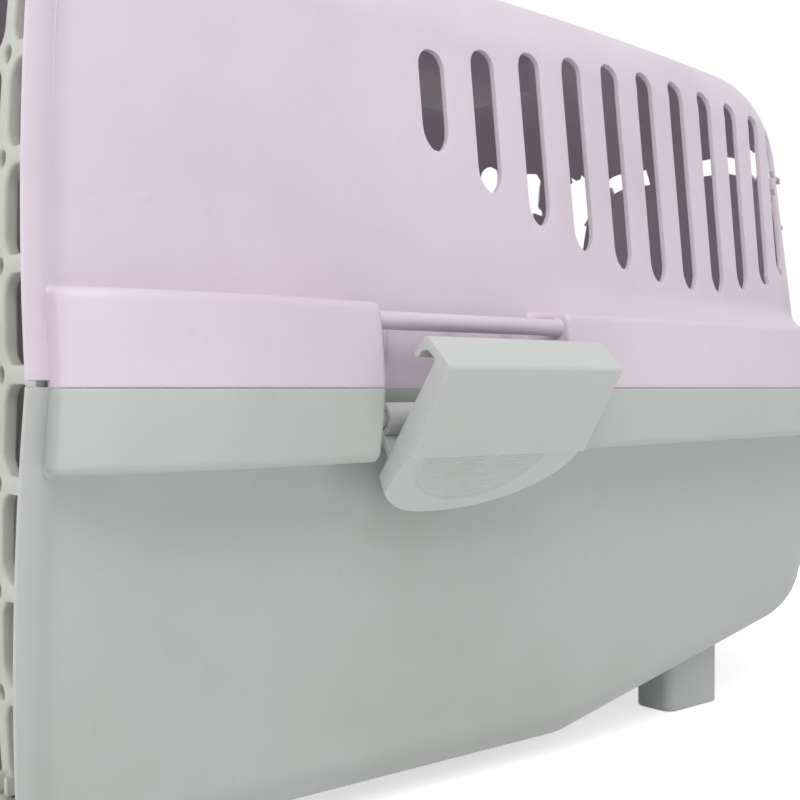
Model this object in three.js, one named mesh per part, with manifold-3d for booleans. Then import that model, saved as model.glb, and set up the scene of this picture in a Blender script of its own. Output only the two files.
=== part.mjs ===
// A two-shell plastic pet carrier with a grille door, three over-centre latches and a folding handle.
// Millimetres, +Z up, the door faces -Y. Until the last lines, x is measured from the middle plane,
// y backwards from the front edge at the seam, and z upwards from the seam between the two shells.
import * as THREE from 'three';
import { mergeVertices } from 'three/addons/utils/BufferGeometryUtils.js';
import Module from 'manifold-3d';

const wasm = await Module();
wasm.setup();

// Clearances and overruns
const gap = 0.3; // between pieces that touch or slide
const overrun = 6; // how far a cutting solid passes the face that it cuts
const bite = 1.2; // how deep a joined detail reaches into what carries it
const wall = 2.5; // shell wall
const weld = 0.0001; // points nearer than this are one point

// The body of both shells
const bodyLength = 570; // front edge to the rear wall, at the seam
const bodyHalf = 164; // half the width over the walls, at the seam
const frontBow = 1200; // radius of the front edge in side view
const rimFlare = 4.5; // how far the front rim flares out
const rimFlat = 3; // length of the rim's outermost stretch
const rimLength = 18; // where the flare has run out
const rearRoundLength = 95; // length of the rounding into the rear wall
const rearRoundHalf = 80; // width that the rounding takes off each side
const seamNotch = 2.6; // opening between the two rims at the front of the seam
const seamNotchLength = 12;

// Upper shell
const upperHeight = 196.3;
const upperLeanShare = 0.115; // inward lean of the side walls, as a share of the height
const shoulderHeight = 48;
const shoulderWidth = 68;
const upperRearDrop = 60; // how much lower the rear wall ends than the roof
const drawFrom = 152; // behind this the side walls draw in over the belt
const drawBow = 1409; // radius of the line along which they do
const drawLow = 12; // heights between which the wall passes from the belt's line to the drawn-in one
const drawHigh = 50;
const drawRoundShare = 0.3; // share of the rear rounding's width that the drawn-in wall still has

// Lower shell
const lowerHeight = 177.3;
const lowerLeanShare = 0.2;
const bilgeHeight = 26;
const bilgeWidth = 34;
const lowerRearRise = 60; // how far the floor sweeps up to the rear wall
const sweepFrom = 300; // behind this the floor rises towards the rear
const sweepShare = 0.21; // its rise, as a share of the length
const footHeight = 7; // the moulded feet, below the floor
const footLength = 46;
const footWidth = 26;
const footInset = 12; // from the floor's flat edge
const footFront = 30; // front foot's start
const footRearInset = 118; // from the rear foot's end to the rear wall

// Tongue of the lower shell, inside the upper one
const tongueHeight = 4;
const tongueThick = 1.6;
const tongueStart = 70; // its stretch behind the door's swing

// The belt that stands proud round both shells, cut away for the latches
const beltFront = 7.7;
const beltCorner = 100; // its rear corner radius
const beltFrontOut = 10; // how far the belt stands out from the walls, from front to rear
const beltNoseOut = 18.5;
const beltNoseAt = 24;
const beltWideOut = 23.7;
const beltWideAt = 72;
const beltWaistOut = 20;
const beltWaistAt = 150;
const beltRearOut = 21.5;
const beltUp = 32.5;
const beltDown = 28;
const beltSwell = 3.8; // how much further out the belt is at the seam than at its edges
const beltRound = 4.2; // how far its rounded edges turn in
const beltLevelShares = [[0.4, 0.25], [0.78, 0.7], [0.93, 1]]; // of its height, and of the swell, drawn in
const beltRearTaperShare = 0.8; // height that is left of the lower belt at the rear
const beltRear = bodyLength + beltRearOut;

// Latches and what they work on
const latchGapFront = 132; // the side gap's front end
const latchGap = 103; // the length of each gap in the belt
const barRadius = 3.6;
const barOut = 14; // bar axis, outside the wall
const barUp = 26;
const pinRadius = 4;
const pinOut = 5.5; // pin axis, outside the wall
const pinDown = 12.2;
const latchEndGap = 3.5; // from the plate's end to the belt
const latchPlate = 2.8; // plate thickness
const latchReach = 20.3; // from the pin out to the fold
const latchTop = 46.2; // from the pin up to the flat top
const latchStepOut = 28; // the front plate's foot, where the grip flap starts
const latchStepUp = 6;
const latchFlapOut = 25.6; // the grip flap's lower edge
const latchFlapDown = 27;
const latchFlapStep = 1.6; // how far the flap is set back from the plate
const latchCheek = 8; // depth of the end cheeks
const latchCheekThick = 2.2;
const hookClearance = 0.5; // round the bar
const hookBeak = 6.9; // the beak reaches this far behind the bar's axis
const clipRadius = 6.6; // outside of the snap-on barrel
const clipShort = 5; // the barrel ends this far inside the plate
const clipMouthShare = 0.24; // share of the barrel's turn that is open
const webThick = 2.2;
const latchOpenAngle = 43; // as it stands, opened from its closed position, in degrees

// Wall ribs behind the bar
const ribThick = 1.8;
const ribOut = 4;
const ribFoot = 6; // height of the rib
const ribPitch = 34;
const ribCount = 3;

// Vent slots, upper shell
const slotCount = 12;
const slotFirst = 189.2; // first slot's middle
const slotLastInset = 31; // from the last slot's middle to the rear wall
const slotWidth = 15;
const slotTip = 11; // length of the pointed lower tip
const slotShoulderShare = 0.62; // where the tips' curves bend, across and along
const slotTipBendShare = 0.35;
const slotTopBendShare = 0.3;
const slotLowAt = 388; // where the row of tips is lowest
const slotLow = 51.5;
const slotTipBow = 407; // radius of the curve through the lower tips
const slotHigh = 165; // upper ends, at the middle of the row
const slotHighAt = 400;
const slotHighBow = 1100;

// Front frame and door
const frameDepth = 9; // the front frame's face, behind the front edge
const doorDepth = 14; // the door's face, behind the front edge
const doorThick = 5.4;
const doorSideInset = 5.4; // the door's edge, inside the walls at the seam
const doorTopInset = 34.5; // below the roof
const doorBottomInset = 25.5; // above the floor
const doorCorner = 13;
const doorClearance = 1.5; // round the door in its opening
const shelfThick = 3; // shelves over and under the door
const shelfDepth = 34; // the shelves' rear edge, behind the front edge
const gridBorderSide = 19.1; // from the outermost holes to the door's edges
const gridBorderTop = 3.35;
const gridBorderBottom = 2.65;
const gridColumns = 9;
const gridRows = 8;
const gridRowsDown = 4; // how many of them lie below the seam
const gridBarX = 9;
const gridBarZ = 6.8;
const gridHoleRound = 8;
const gridFollowTopShare = 0.807; // share of the door's own lean by which the columns close up
const gridFollowBottomShare = 0.858;
const dotRadius = 3.2; // small round holes where the bars cross
const hingeInset = 39; // hinge pin axis, inside the door's edge at the seam
const doorPinRadius = 3;
const doorPinLength = 6;
const doorPinBoss = 4.6; // radius of the boss that carries each pin

// Door latch: two bolts squeezed together by finger tabs, with a spring between them
const boltColumn = 3; // the grid column, counted from the middle one, that the bolts run behind
const boltRadius = 2.8;
const boltTravel = 8;
const boltTipGap = 0.6; // drawn back, the tip is this far inside the door's edge
const boltBlockWidth = 11;
const boltBlockHeight = 14;
const boltBlockDeep = 9.4;
const boltTabWidth = 14;
const boltTabThick = 4;
const boltTabReach = 10.5; // in front of the door
const springLength = 11; // between the blocks when they are squeezed together
const springRadius = 2.9;
const springWire = 0.8;
const coverWall = 1.8;
const coverEnd = 6; // the cover reaches past the drawn-out blocks by this
const guideWidth = 12; // guide bosses at the door's top and bottom edge
const guideHeight = 7;

// Carrying handle in its recess
const recessHalf = 33;
const recessFront = 180;
const recessLength = 190;
const recessDepth = 21;
const recessRound = 8;
const handleEndGap = 2; // between the handle and the recess's ends
const handleThick = 12; // height of the bail lying flat
const handleArm = 15; // width of the arms
const handleGrip = 19; // width of the grip
const handlePivotX = -22;
const handleSideGap = 3.5; // between the grip and the recess's side
const handleFloorGap = 2.5;
const handleArmRound = 9;
const handlePinRadius = 3.6;

const sides = { round: 12, bar: 14 };

// Turns a closed three.js geometry into a solid that can be joined and cut
function solid(geometry) {
  const bare = geometry.index ? geometry.toNonIndexed() : geometry;
  bare.deleteAttribute('normal');
  bare.deleteAttribute('uv');
  const merged = mergeVertices(bare, weld);
  const kept = [];
  const index = merged.index.array;
  for (let i = 0; i < index.length; i += 3) {
    const [a, b, c] = [index[i], index[i + 1], index[i + 2]];
    if (a !== b && b !== c && c !== a) {
      kept.push(a, b, c);
    }
  }
  return new wasm.Manifold(new wasm.Mesh({
    numProp: 3,
    vertProperties: new Float32Array(merged.attributes.position.array),
    triVerts: new Uint32Array(kept),
  }));
}

function join(first, ...others) {
  return others.reduce((whole, next) => whole.add(next), first);
}

function cut(first, ...others) {
  return others.reduce((whole, next) => whole.subtract(next), first);
}

// Corner points of a polygon, each corner rounded by its own radius
function rounded(corners, steps = 3) {
  const points = [];
  corners.forEach(([x, y, radius = 0], i) => {
    const here = new THREE.Vector2(x, y);
    if (radius === 0) {
      points.push(here);
      return;
    }
    const [px, py] = corners[(i + corners.length - 1) % corners.length];
    const [nx, ny] = corners[(i + 1) % corners.length];
    const back = new THREE.Vector2(px, py).sub(here);
    const on = new THREE.Vector2(nx, ny).sub(here);
    const limit = Math.min(back.length(), on.length()) / 2;
    back.normalize();
    on.normalize();
    const half = Math.acos(THREE.MathUtils.clamp(back.dot(on), -1, 1)) / 2;
    const reach = Math.min(radius / Math.tan(half), limit);
    const turn = reach * Math.tan(half);
    const centre = here.clone().add(back.clone().add(on).normalize().multiplyScalar(turn / Math.sin(half)));
    const from = here.clone().add(back.clone().multiplyScalar(reach)).sub(centre);
    const sweep = Math.PI - 2 * half;
    const way = Math.sign(back.cross(on)) || 1;
    for (let k = 0; k <= steps; k += 1) {
      const arm = from.clone().rotateAround(new THREE.Vector2(), -way * sweep * k / steps);
      points.push(arm.add(centre));
    }
  });
  return points;
}

// A prism on an outline: drawn in (x, z) it runs along y, in (y, z) along x, and in (x, y) along z
function prism(outline, along, from, to, holes = []) {
  const shape = new THREE.Shape(outline);
  shape.holes = holes.map((hole) => new THREE.Path(hole));
  const geometry = new THREE.ExtrudeGeometry(shape, { depth: to - from, bevelEnabled: false });
  if (along === 'y') {
    geometry.rotateX(Math.PI / 2);
    geometry.translate(0, to, 0);
  } else if (along === 'x') {
    geometry.rotateX(Math.PI / 2);
    geometry.rotateZ(Math.PI / 2);
    geometry.translate(from, 0, 0);
  } else {
    geometry.translate(0, 0, from);
  }
  return solid(geometry);
}

function block(x0, x1, y0, y1, z0, z1) {
  const geometry = new THREE.BoxGeometry(x1 - x0, y1 - y0, z1 - z0);
  geometry.translate((x0 + x1) / 2, (y0 + y1) / 2, (z0 + z1) / 2);
  return solid(geometry);
}

// A round rod along y or z, between two ends
function rod(along, radius, at, from, to, count = sides.round) {
  const geometry = new THREE.CylinderGeometry(radius, radius, to - from, count);
  if (along === 'z') {
    geometry.rotateX(Math.PI / 2);
    geometry.translate(at[0], at[1], (from + to) / 2);
  } else {
    geometry.translate(at[0], (from + to) / 2, at[1]);
  }
  return solid(geometry);
}

// Joins rings of equally many points into one closed skin, with a flat cap at each end
function loft(rings, flatten) {
  const count = rings[0].length;
  const positions = rings.flat().flatMap((p) => [p.x, p.y, p.z]);
  const index = [];
  for (let r = 0; r + 1 < rings.length; r += 1) {
    for (let i = 0; i < count; i += 1) {
      const a = r * count + i;
      const b = r * count + (i + 1) % count;
      index.push(a, b, b + count, a, b + count, a + count);
    }
  }
  const turnsLeft = THREE.ShapeUtils.area(rings[0].map(flatten)) > 0;
  const caps = [[0, turnsLeft], [rings.length - 1, !turnsLeft]];
  for (const [r, flipped] of caps) {
    for (const [a, b, c] of THREE.ShapeUtils.triangulateShape(rings[r].map(flatten), [])) {
      const start = r * count;
      index.push(start + a, start + (flipped ? c : b), start + (flipped ? b : c));
    }
  }
  const geometry = new THREE.BufferGeometry();
  geometry.setAttribute('position', new THREE.Float32BufferAttribute(positions, 3));
  geometry.setIndex(index);
  const made = solid(geometry);
  if (made.volume() > 0) {
    return made;
  }
  const turned = geometry.clone();
  turned.setIndex(index.toReversed());
  return solid(turned);
}

// How far the bowed front edge lies behind its foremost point, at a height
function bow(z) {
  return z * z / (2 * frontBow);
}

// How far the upper shell's side walls have drawn in, at a distance behind the front edge
function drawIn(y) {
  return Math.max(0, y - drawFrom) ** 2 / (2 * drawBow);
}

// One cross-section of a shell, from the right seam edge round to the left one. sign is 1 above the seam.
function section(shell, inset, start) {
  const height = shell.height - inset;
  const sideTop = shell.height - shell.roundHeight;
  const sideHalf = (z) => bodyHalf - inset - shell.lean * z;
  const wide = shell.roundWidth - inset;
  const tall = height - sideTop;
  const levels = [start, ...shell.levels, (drawHigh + sideTop) / 2];
  const right = levels.map((z) => [sideHalf(z), z]);
  const steps = 6;
  for (let k = 0; k <= steps; k += 1) {
    const turn = Math.PI / 2 * k / steps;
    right.push([sideHalf(sideTop) - wide * (1 - Math.cos(turn)), sideTop + tall * Math.sin(turn)]);
  }
  const left = right.toReversed().map(([x, z]) => [-x, z]);
  return [...right, ...left];
}

// Where the skins have sections between the flared rim and the rear rounding
const stationGaps = 8;
const stations = Array.from({ length: stationGaps - 1 }, (_, k) => (
  rimLength + (bodyLength - rearRoundLength - rimLength) * (k + 1) / stationGaps
));

// A shell's outer or inner skin as a solid: sections along y, flared at the rim and rounded at the rear
function skin(shell, inset, start) {
  const base = section(shell, inset, start);
  const ring = (y, halfChange, heightChange, rearShare) => base.map(([x, z]) => {
    const over = shell.draws ? THREE.MathUtils.smoothstep(z, drawLow, drawHigh) : 0;
    const change = halfChange < 0 ? halfChange * (1 - over * (1 - drawRoundShare)) : halfChange;
    const wide = x * (1 + (change - over * drawIn(y)) / bodyHalf);
    const high = z * (1 + (heightChange - shell.sweep * Math.max(0, y - sweepFrom)) / shell.height);
    return new THREE.Vector3(wide, y - rearShare * shell.lean * z, shell.sign * high);
  });
  const rings = [ring(-overrun, rimFlare, rimFlare, 0)];
  const flareSteps = 4;
  for (let k = 0; k <= flareSteps; k += 1) {
    const share = k / flareSteps;
    const flare = rimFlare * (1 + Math.cos(Math.PI * share)) / 2;
    rings.push(ring(rimFlat + (rimLength - rimFlat) * share, flare, flare, 0));
  }
  const rearSteps = 6;
  for (const y of stations) {
    rings.push(ring(y, 0, 0, 0));
  }
  for (let k = 0; k <= rearSteps; k += 1) {
    const turn = Math.PI / 2 * k / rearSteps;
    const y = bodyLength - inset - (rearRoundLength - inset) * (1 - Math.sin(turn));
    const drawn = 1 - Math.cos(turn);
    const [halfChange, heightChange] = [(inset - rearRoundHalf) * drawn, (inset - shell.rearChange) * drawn];
    rings.push(ring(y, halfChange, heightChange, Math.sin(turn)));
  }
  return loft(rings, (p) => new THREE.Vector2(p.x, p.z));
}

// The belt's outline seen from above, drawn in or out by a distance, as points of (half width, y)
function beltOutline(change) {
  const curve = new THREE.CatmullRomCurve3([
    [beltFrontOut, beltFront], [beltNoseOut, beltNoseAt], [beltWideOut, beltWideAt],
    [beltWaistOut, beltWaistAt], [beltRearOut, (beltWaistAt + beltRear) / 2],
    [beltRearOut, beltRear - beltCorner],
  ].map(([out, y]) => new THREE.Vector3(bodyHalf + out + change, y, 0)), false, 'centripetal');
  const right = curve.getPoints(11).map((p) => new THREE.Vector2(p.x, p.y));
  const cornerSteps = 6;
  for (let k = 1; k <= cornerSteps; k += 1) {
    const turn = Math.PI / 2 * k / cornerSteps;
    right.push(new THREE.Vector2(
      bodyHalf + beltRearOut + change - (beltCorner + change) * (1 - Math.cos(turn)),
      beltRear - beltCorner + (beltCorner + change) * Math.sin(turn),
    ));
  }
  return [...right, ...right.toReversed().map((p) => new THREE.Vector2(-p.x, p.y))];
}

// The belt as a filled solid on one side of the seam
function belt(sign, height, inset, start) {
  const levels = [[start, 0], ...beltLevelShares, [1, 1 + beltRound / beltSwell]];
  const rings = levels.map(([share, drawn]) => {
    const level = share === start ? start : share * (height - inset);
    return beltOutline(-inset - beltSwell * (drawn - 1)).map((p) => {
      const along = THREE.MathUtils.clamp((p.y - beltWaistAt) / (beltRear - beltWaistAt), 0, 1);
      const taper = sign > 0 ? 1 : 1 - (1 - beltRearTaperShare) * along;
      return new THREE.Vector3(p.x, p.y, sign * level * (level > 0 ? taper : 1));
    });
  });
  return loft(rings, (p) => new THREE.Vector2(p.x, p.y));
}

const upper = {
  sign: 1, height: upperHeight, lean: upperLeanShare, roundHeight: shoulderHeight,
  roundWidth: shoulderWidth, rearChange: upperRearDrop, draws: true, sweep: 0,
  levels: [drawLow, (drawLow + drawHigh) / 2, drawHigh],
};
const lower = {
  sign: -1, height: lowerHeight, lean: lowerLeanShare, roundHeight: bilgeHeight,
  roundWidth: bilgeWidth, rearChange: lowerRearRise, draws: false, sweep: sweepShare, levels: [],
};

// Places that the pieces share
const doorHalf = bodyHalf - doorSideInset;
const doorTop = upperHeight - doorTopInset;
const doorBottom = lowerHeight - doorBottomInset;
const gridPitchX = (2 * (doorHalf - gridBorderSide) + gridBarX) / gridColumns;
const gridPitchZ = (doorTop - gridBorderTop + doorBottom - gridBorderBottom + gridBarZ) / gridRows;
const gridLowest = gridBorderBottom - doorBottom + (gridPitchZ - gridBarZ) / 2; // middle of the lowest row
const latchGapRear = latchGapFront + latchGap;
const latchMiddle = latchGapFront + latchGap / 2;
const barX = bodyHalf + barOut;
const pinX = bodyHalf + pinOut;
const barRear = bodyLength + barOut;
const pinRear = bodyLength + pinOut;
const doorEdgeDepth = doorDepth + (bow(doorTop) + bow(doorBottom)) / 2 + doorThick / 2;
const hingeX = -(doorHalf - hingeInset);
const boltX = gridPitchX * boltColumn;
const boltY = Math.max(doorEdgeDepth, doorDepth + doorThick + boltRadius + gap);
const squeezeMiddle = gridLowest + gridPitchZ * (gridRowsDown - 1 / 2);
const coverReach = springLength / 2 + boltBlockHeight + boltTravel + coverEnd;
const channelY = doorDepth + doorThick + bow(squeezeMiddle + coverReach) + gap;

// The three cuts in the belt where the latches sit, each end moved out by a distance
function latchCuts(grow) {
  const far = bodyHalf + beltWideOut + beltSwell + overrun;
  const inner = bodyHalf - rearRoundHalf;
  const tall = beltUp + overrun;
  const ends = [latchGapFront - grow, latchGapRear + grow];
  const rearHalf = latchGap / 2 + grow;
  return [
    block(inner, far, ...ends, -tall, tall),
    block(-far, -inner, ...ends, -tall, tall),
    block(-rearHalf, rearHalf, bodyLength - rearRoundHalf, beltRear + far, -tall, tall),
  ];
}

// A plate that follows the front's bow, from one depth behind the front edge to another
function bowedPlate(from, to, low, high) {
  const steps = 10;
  const heights = Array.from({ length: steps + 1 }, (_, k) => low + (high - low) * k / steps);
  const front = heights.map((z) => new THREE.Vector2(from + bow(z), z));
  const back = heights.toReversed().map((z) => new THREE.Vector2(to + bow(z), z));
  return prism([...front, ...back], 'x', -bodyHalf - overrun, bodyHalf + overrun);
}

// The door's outline, its edges drawn out by one distance and its sides by another
function doorOutline(grow, sideGrow = grow) {
  const top = doorTop + grow;
  const bottom = doorBottom + grow;
  const half = doorHalf + sideGrow;
  const corner = doorCorner + grow;
  const [topHalf, bottomHalf] = [half - upperLeanShare * top, half - lowerLeanShare * bottom];
  return rounded([
    [half, 0], [topHalf, top, corner], [-topHalf, top, corner],
    [-half, 0], [-bottomHalf, -bottom, corner], [bottomHalf, -bottom, corner],
  ]);
}

// A bar or pin between the two ends of every gap in the belt
function latchBars(radius, x, y, z) {
  const half = latchGap / 2 + bite;
  const geometry = new THREE.CylinderGeometry(radius, radius, 2 * half, sides.bar);
  geometry.rotateZ(Math.PI / 2);
  geometry.translate(0, y, z);
  return [
    rod('y', radius, [x, z], latchMiddle - half, latchMiddle + half, sides.bar),
    rod('y', radius, [-x, z], latchMiddle - half, latchMiddle + half, sides.bar),
    solid(geometry),
  ];
}

// What both shells have: skin, belt, latch bars, front frame and the shelf that the door turns in
function shell(form, beltHeight, doorEdge, bars) {
  const s = form.sign;
  const outer = skin(form, 0, 0);
  const hollow = skin(form, wall, -overrun);
  const ring = cut(belt(s, beltHeight, 0, 0), ...latchCuts(0));
  const ringHollow = cut(
    belt(s, beltHeight, wall, -overrun), ...latchCuts(wall), outer,
    block(-bodyHalf * 2, bodyHalf * 2, -overrun, beltFront + wall, -beltUp * 2, beltUp * 2),
  );
  const faceTop = s * (form.height + overrun);
  const outline = doorOutline(doorClearance, bodyHalf + rimFlare - doorHalf);
  const opening = prism(outline, 'y', -overrun, shelfDepth + overrun);
  const face = bowedPlate(frameDepth, frameDepth + wall, Math.min(0, faceTop), Math.max(0, faceTop));
  const shelfAt = s * (doorEdge + doorClearance);
  const shelf = block(
    -bodyHalf, bodyHalf, frameDepth + bow(doorEdge), shelfDepth,
    Math.min(shelfAt, shelfAt + s * shelfThick), Math.max(shelfAt, shelfAt + s * shelfThick),
  );
  const frame = cut(join(face, shelf).intersect(outer), opening);
  const pinHole = (x, y, radius) => rod('z', radius, [x, y], s * doorEdge - overrun, s * doorEdge + overrun);
  const ahead = prism(
    [...Array.from({ length: 13 }, (_, k) => {
      const z = s * (form.height + overrun) * k / 12;
      return new THREE.Vector2(bow(z), z);
    }), new THREE.Vector2(-2 * overrun, s * (form.height + overrun)), new THREE.Vector2(-2 * overrun, 0)],
    'x', -bodyHalf * 2, bodyHalf * 2,
  );
  const made = join(cut(join(outer, ring), hollow, ringHollow), frame, ...bars);
  return cut(
    made, ahead,
    pinHole(hingeX, doorEdgeDepth, doorPinRadius + gap),
    pinHole(boltX, boltY, boltRadius + gap),
  );
}

// Pointed-ended vent slot in (y, z), tips up and down
function slotOutline(middle, low, high) {
  const half = slotWidth / 2;
  const shoulder = half * slotShoulderShare;
  const tipBend = low + slotTip * slotTipBendShare;
  const topBend = high - half * slotTopBendShare;
  return [
    [middle, low], [middle + shoulder, tipBend], [middle + half, low + slotTip],
    [middle + half, high - half], [middle + shoulder, topBend], [middle, high],
    [middle - shoulder, topBend], [middle - half, high - half],
    [middle - half, low + slotTip], [middle - shoulder, tipBend],
  ].map(([a, b]) => new THREE.Vector2(a, b));
}

function ventSlots() {
  const cuts = [];
  const slotPitch = (bodyLength - slotLastInset - slotFirst) / (slotCount - 1);
  for (let k = 0; k < slotCount; k += 1) {
    const middle = slotFirst + k * slotPitch;
    const low = slotLow + (middle - slotLowAt) ** 2 / (2 * slotTipBow);
    const high = slotHigh - (middle - slotHighAt) ** 2 / (2 * slotHighBow);
    cuts.push(prism(slotOutline(middle, low, high), 'x', -2 * bodyHalf, 2 * bodyHalf));
  }
  return cuts;
}

// Short upright ribs on the wall behind the right and left bars
function wallRibs() {
  const made = [];
  for (let k = 0; k < ribCount; k += 1) {
    const middle = latchMiddle + (k - (ribCount - 1) / 2) * ribPitch;
    for (const side of [1, -1]) {
      const near = side * (bodyHalf - upperLeanShare * barUp - bite);
      const far = side * (bodyHalf - upperLeanShare * barUp + ribOut);
      made.push(block(
        Math.min(near, far), Math.max(near, far), middle - ribThick / 2, middle + ribThick / 2,
        barUp - ribFoot, barUp + ribFoot / 2,
      ));
    }
  }
  return made;
}

function upperShell() {
  const roof = upperHeight;
  const floor = roof - recessDepth;
  const recess = (grow, from) => prism(rounded([
    [-recessHalf - grow, recessFront - grow, recessRound + grow],
    [recessHalf + grow, recessFront - grow, recessRound + grow],
    [recessHalf + grow, recessFront + recessLength + grow, recessRound + grow],
    [-recessHalf - grow, recessFront + recessLength + grow, recessRound + grow],
  ]), 'z', from, roof + overrun);
  const outer = shell(upper, beltUp, doorTop, [
    ...latchBars(barRadius, barX, barRear, barUp), ...wallRibs(),
  ]);
  const cup = recess(wall, floor - wall).intersect(skin(upper, 0, 0));
  const pivot = rod(
    'y', handlePinRadius + gap, [handlePivotX, floor + handleFloorGap + handleThick / 2],
    recessFront - wall - overrun, recessFront + recessLength + wall + overrun,
  );
  const notch = block(
    -2 * bodyHalf, 2 * bodyHalf, -overrun, seamNotchLength, -overrun, seamNotch,
  ).subtract(block(
    -bodyHalf + wall, bodyHalf - wall, -overrun, seamNotchLength, -overrun, seamNotch,
  ));
  return cut(join(outer, cup), recess(0, floor), pivot, notch, ...ventSlots());
}

// A tongue round the lower shell's top edge that centres the upper shell
function seamTongue() {
  const fit = wall + gap;
  const far = bodyHalf + rimFlare;
  const stretches = join(
    block(-far, far, rimFlat, seamNotchLength, -overrun, tongueHeight),
    block(-far, far, tongueStart, bodyLength, -overrun, tongueHeight),
  );
  return cut(skin(upper, fit, -overrun).intersect(stretches), skin(upper, fit + tongueThick, -2 * overrun));
}

function feet() {
  const halfFloor = bodyHalf - lowerLeanShare * lowerHeight - bilgeWidth;
  const made = [];
  for (const side of [1, -1]) {
    for (const front of [footFront, bodyLength - footRearInset - footLength]) {
      const outside = side * (halfFloor + footInset);
      const inside = side * (halfFloor + footInset - footWidth);
      const rear = front + footLength;
      const top = -lowerHeight + bilgeHeight + sweepShare * Math.max(0, rear - sweepFrom);
      const corners = [[outside, front], [inside, front], [inside, rear], [outside, rear]];
      const outline = rounded(corners.map((corner) => [...corner, footInset / 2]));
      made.push(prism(outline, 'z', -lowerHeight - footHeight, top));
    }
  }
  return made;
}

function lowerShell() {
  const body = shell(lower, beltDown, doorBottom, latchBars(pinRadius, pinX, pinRear, -pinDown));
  const hollow = skin(lower, wall / 2, -overrun);
  return join(body, seamTongue(), ...feet().map((foot) => cut(foot, hollow)));
}

// The grille: a bowed plate with rows of rounded holes, dots where its bars cross, pins and guide bosses
function doorGrille() {
  const narrow = (z) => (z > 0
    ? 1 - gridFollowTopShare * upperLeanShare * z / doorHalf
    : 1 + gridFollowBottomShare * lowerLeanShare * z / doorHalf);
  const holes = [];
  for (let r = 0; r < gridRows; r += 1) {
    const z = gridLowest + gridPitchZ * r;
    const [low, high] = [z - (gridPitchZ - gridBarZ) / 2, z + (gridPitchZ - gridBarZ) / 2];
    for (let c = 0; c < gridColumns; c += 1) {
      const x = (c - (gridColumns - 1) / 2) * gridPitchX;
      const half = (gridPitchX - gridBarX) / 2;
      holes.push(rounded([
        [(x - half) * narrow(low), low, gridHoleRound], [(x + half) * narrow(low), low, gridHoleRound],
        [(x + half) * narrow(high), high, gridHoleRound], [(x - half) * narrow(high), high, gridHoleRound],
      ], 2));
      if (c > 0 && r > 0) {
        const [dotX, dotZ] = [(x - gridPitchX / 2) * narrow(low), low - gridBarZ / 2];
        holes.push(Array.from({ length: 6 }, (_, k) => new THREE.Vector2(
          dotX + dotRadius * Math.cos(k * Math.PI / 3), dotZ + dotRadius * Math.sin(k * Math.PI / 3),
        )));
      }
    }
  }
  const reach = doorDepth + bow(doorTop) + doorThick + overrun;
  const sheet = prism(doorOutline(0), 'y', 0, reach, holes);
  const bowed = bowedPlate(doorDepth, doorDepth + doorThick, -doorBottom - overrun, doorTop + overrun);
  const plate = sheet.intersect(bowed);
  const inside = doorPinLength;
  const ends = [[doorTop, 1], [-doorBottom, -1]];
  const fittings = ends.flatMap(([edge, s]) => [
    rod('z', doorPinRadius, [hingeX, doorEdgeDepth],
      ...[edge - s * inside, edge + s * doorPinLength].sort((a, b) => a - b)),
    rod('z', doorPinBoss, [hingeX, doorEdgeDepth], ...[edge - s * guideHeight, edge].sort((a, b) => a - b)),
    block(boltX - guideWidth / 2, boltX + guideWidth / 2, doorEdgeDepth - doorThick / 2,
      boltY + boltRadius + gap + wall, ...[edge - s * guideHeight, edge].sort((a, b) => a - b)),
  ]);
  const bore = rod('z', boltRadius + gap, [boltX, boltY], -doorBottom - overrun, doorTop + overrun);
  const guides = [[doorTop - guideHeight - overrun, doorTop + overrun],
    [-doorBottom - overrun, -doorBottom + guideHeight + overrun]]
    .map(([from, to]) => rod('z', boltRadius + gap, [boltX, boltY], from, to));
  const behind = bore.intersect(block(
    boltX - guideWidth, boltX + guideWidth, doorDepth + doorThick / 2, reach, -doorBottom, doorTop,
  ));
  return cut(join(plate, ...fittings), ...guides, behind);
}

// One bolt: rod, block in the cover, and the finger tab that reaches forward through the grille
function doorBolt(s, edge) {
  const blockFoot = squeezeMiddle + s * springLength / 2;
  const blockHead = blockFoot + s * boltBlockHeight;
  const tip = s * (edge - boltTipGap);
  const between = (a, b) => [Math.min(a, b), Math.max(a, b)];
  const slide = block(
    boltX - boltBlockWidth / 2, boltX + boltBlockWidth / 2, channelY, channelY + boltBlockDeep,
    ...between(blockFoot, blockHead),
  );
  const tabAt = blockHead - s * boltTabThick;
  const neck = block(
    boltX - boltBlockWidth / 2, boltX + boltBlockWidth / 2, doorDepth - bite, channelY + bite,
    ...between(blockHead, tabAt),
  );
  const tab = block(
    boltX - boltTabWidth / 2, boltX + boltTabWidth / 2, doorDepth - boltTabReach, doorDepth,
    ...between(blockHead, tabAt),
  );
  return join(rod('z', boltRadius, [boltX, boltY], ...between(blockFoot + s * bite, tip)), slide, neck, tab);
}

// The coil is shown here by its envelope: a plain sleeve between the two blocks
function latchSpring() {
  const half = springLength / 2 - gap;
  const y = channelY + boltBlockDeep / 2;
  return cut(
    rod('z', springRadius, [boltX, y], squeezeMiddle - half, squeezeMiddle + half),
    rod('z', springRadius - springWire, [boltX, y], squeezeMiddle - overrun, squeezeMiddle + overrun),
  );
}

// A channel behind the grille that the blocks and the spring run in
function latchCover() {
  const half = boltBlockWidth / 2 + gap;
  const deep = channelY + boltBlockDeep + gap;
  const [low, high] = [squeezeMiddle - coverReach, squeezeMiddle + coverReach];
  return cut(
    block(boltX - half - coverWall, boltX + half + coverWall, channelY, deep + coverWall, low, high),
    block(boltX - half, boltX + half, channelY - overrun, deep, low + coverWall, high - coverWall),
    rod('z', boltRadius + gap, [boltX, boltY], low - overrun, high + overrun),
  );
}

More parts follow.
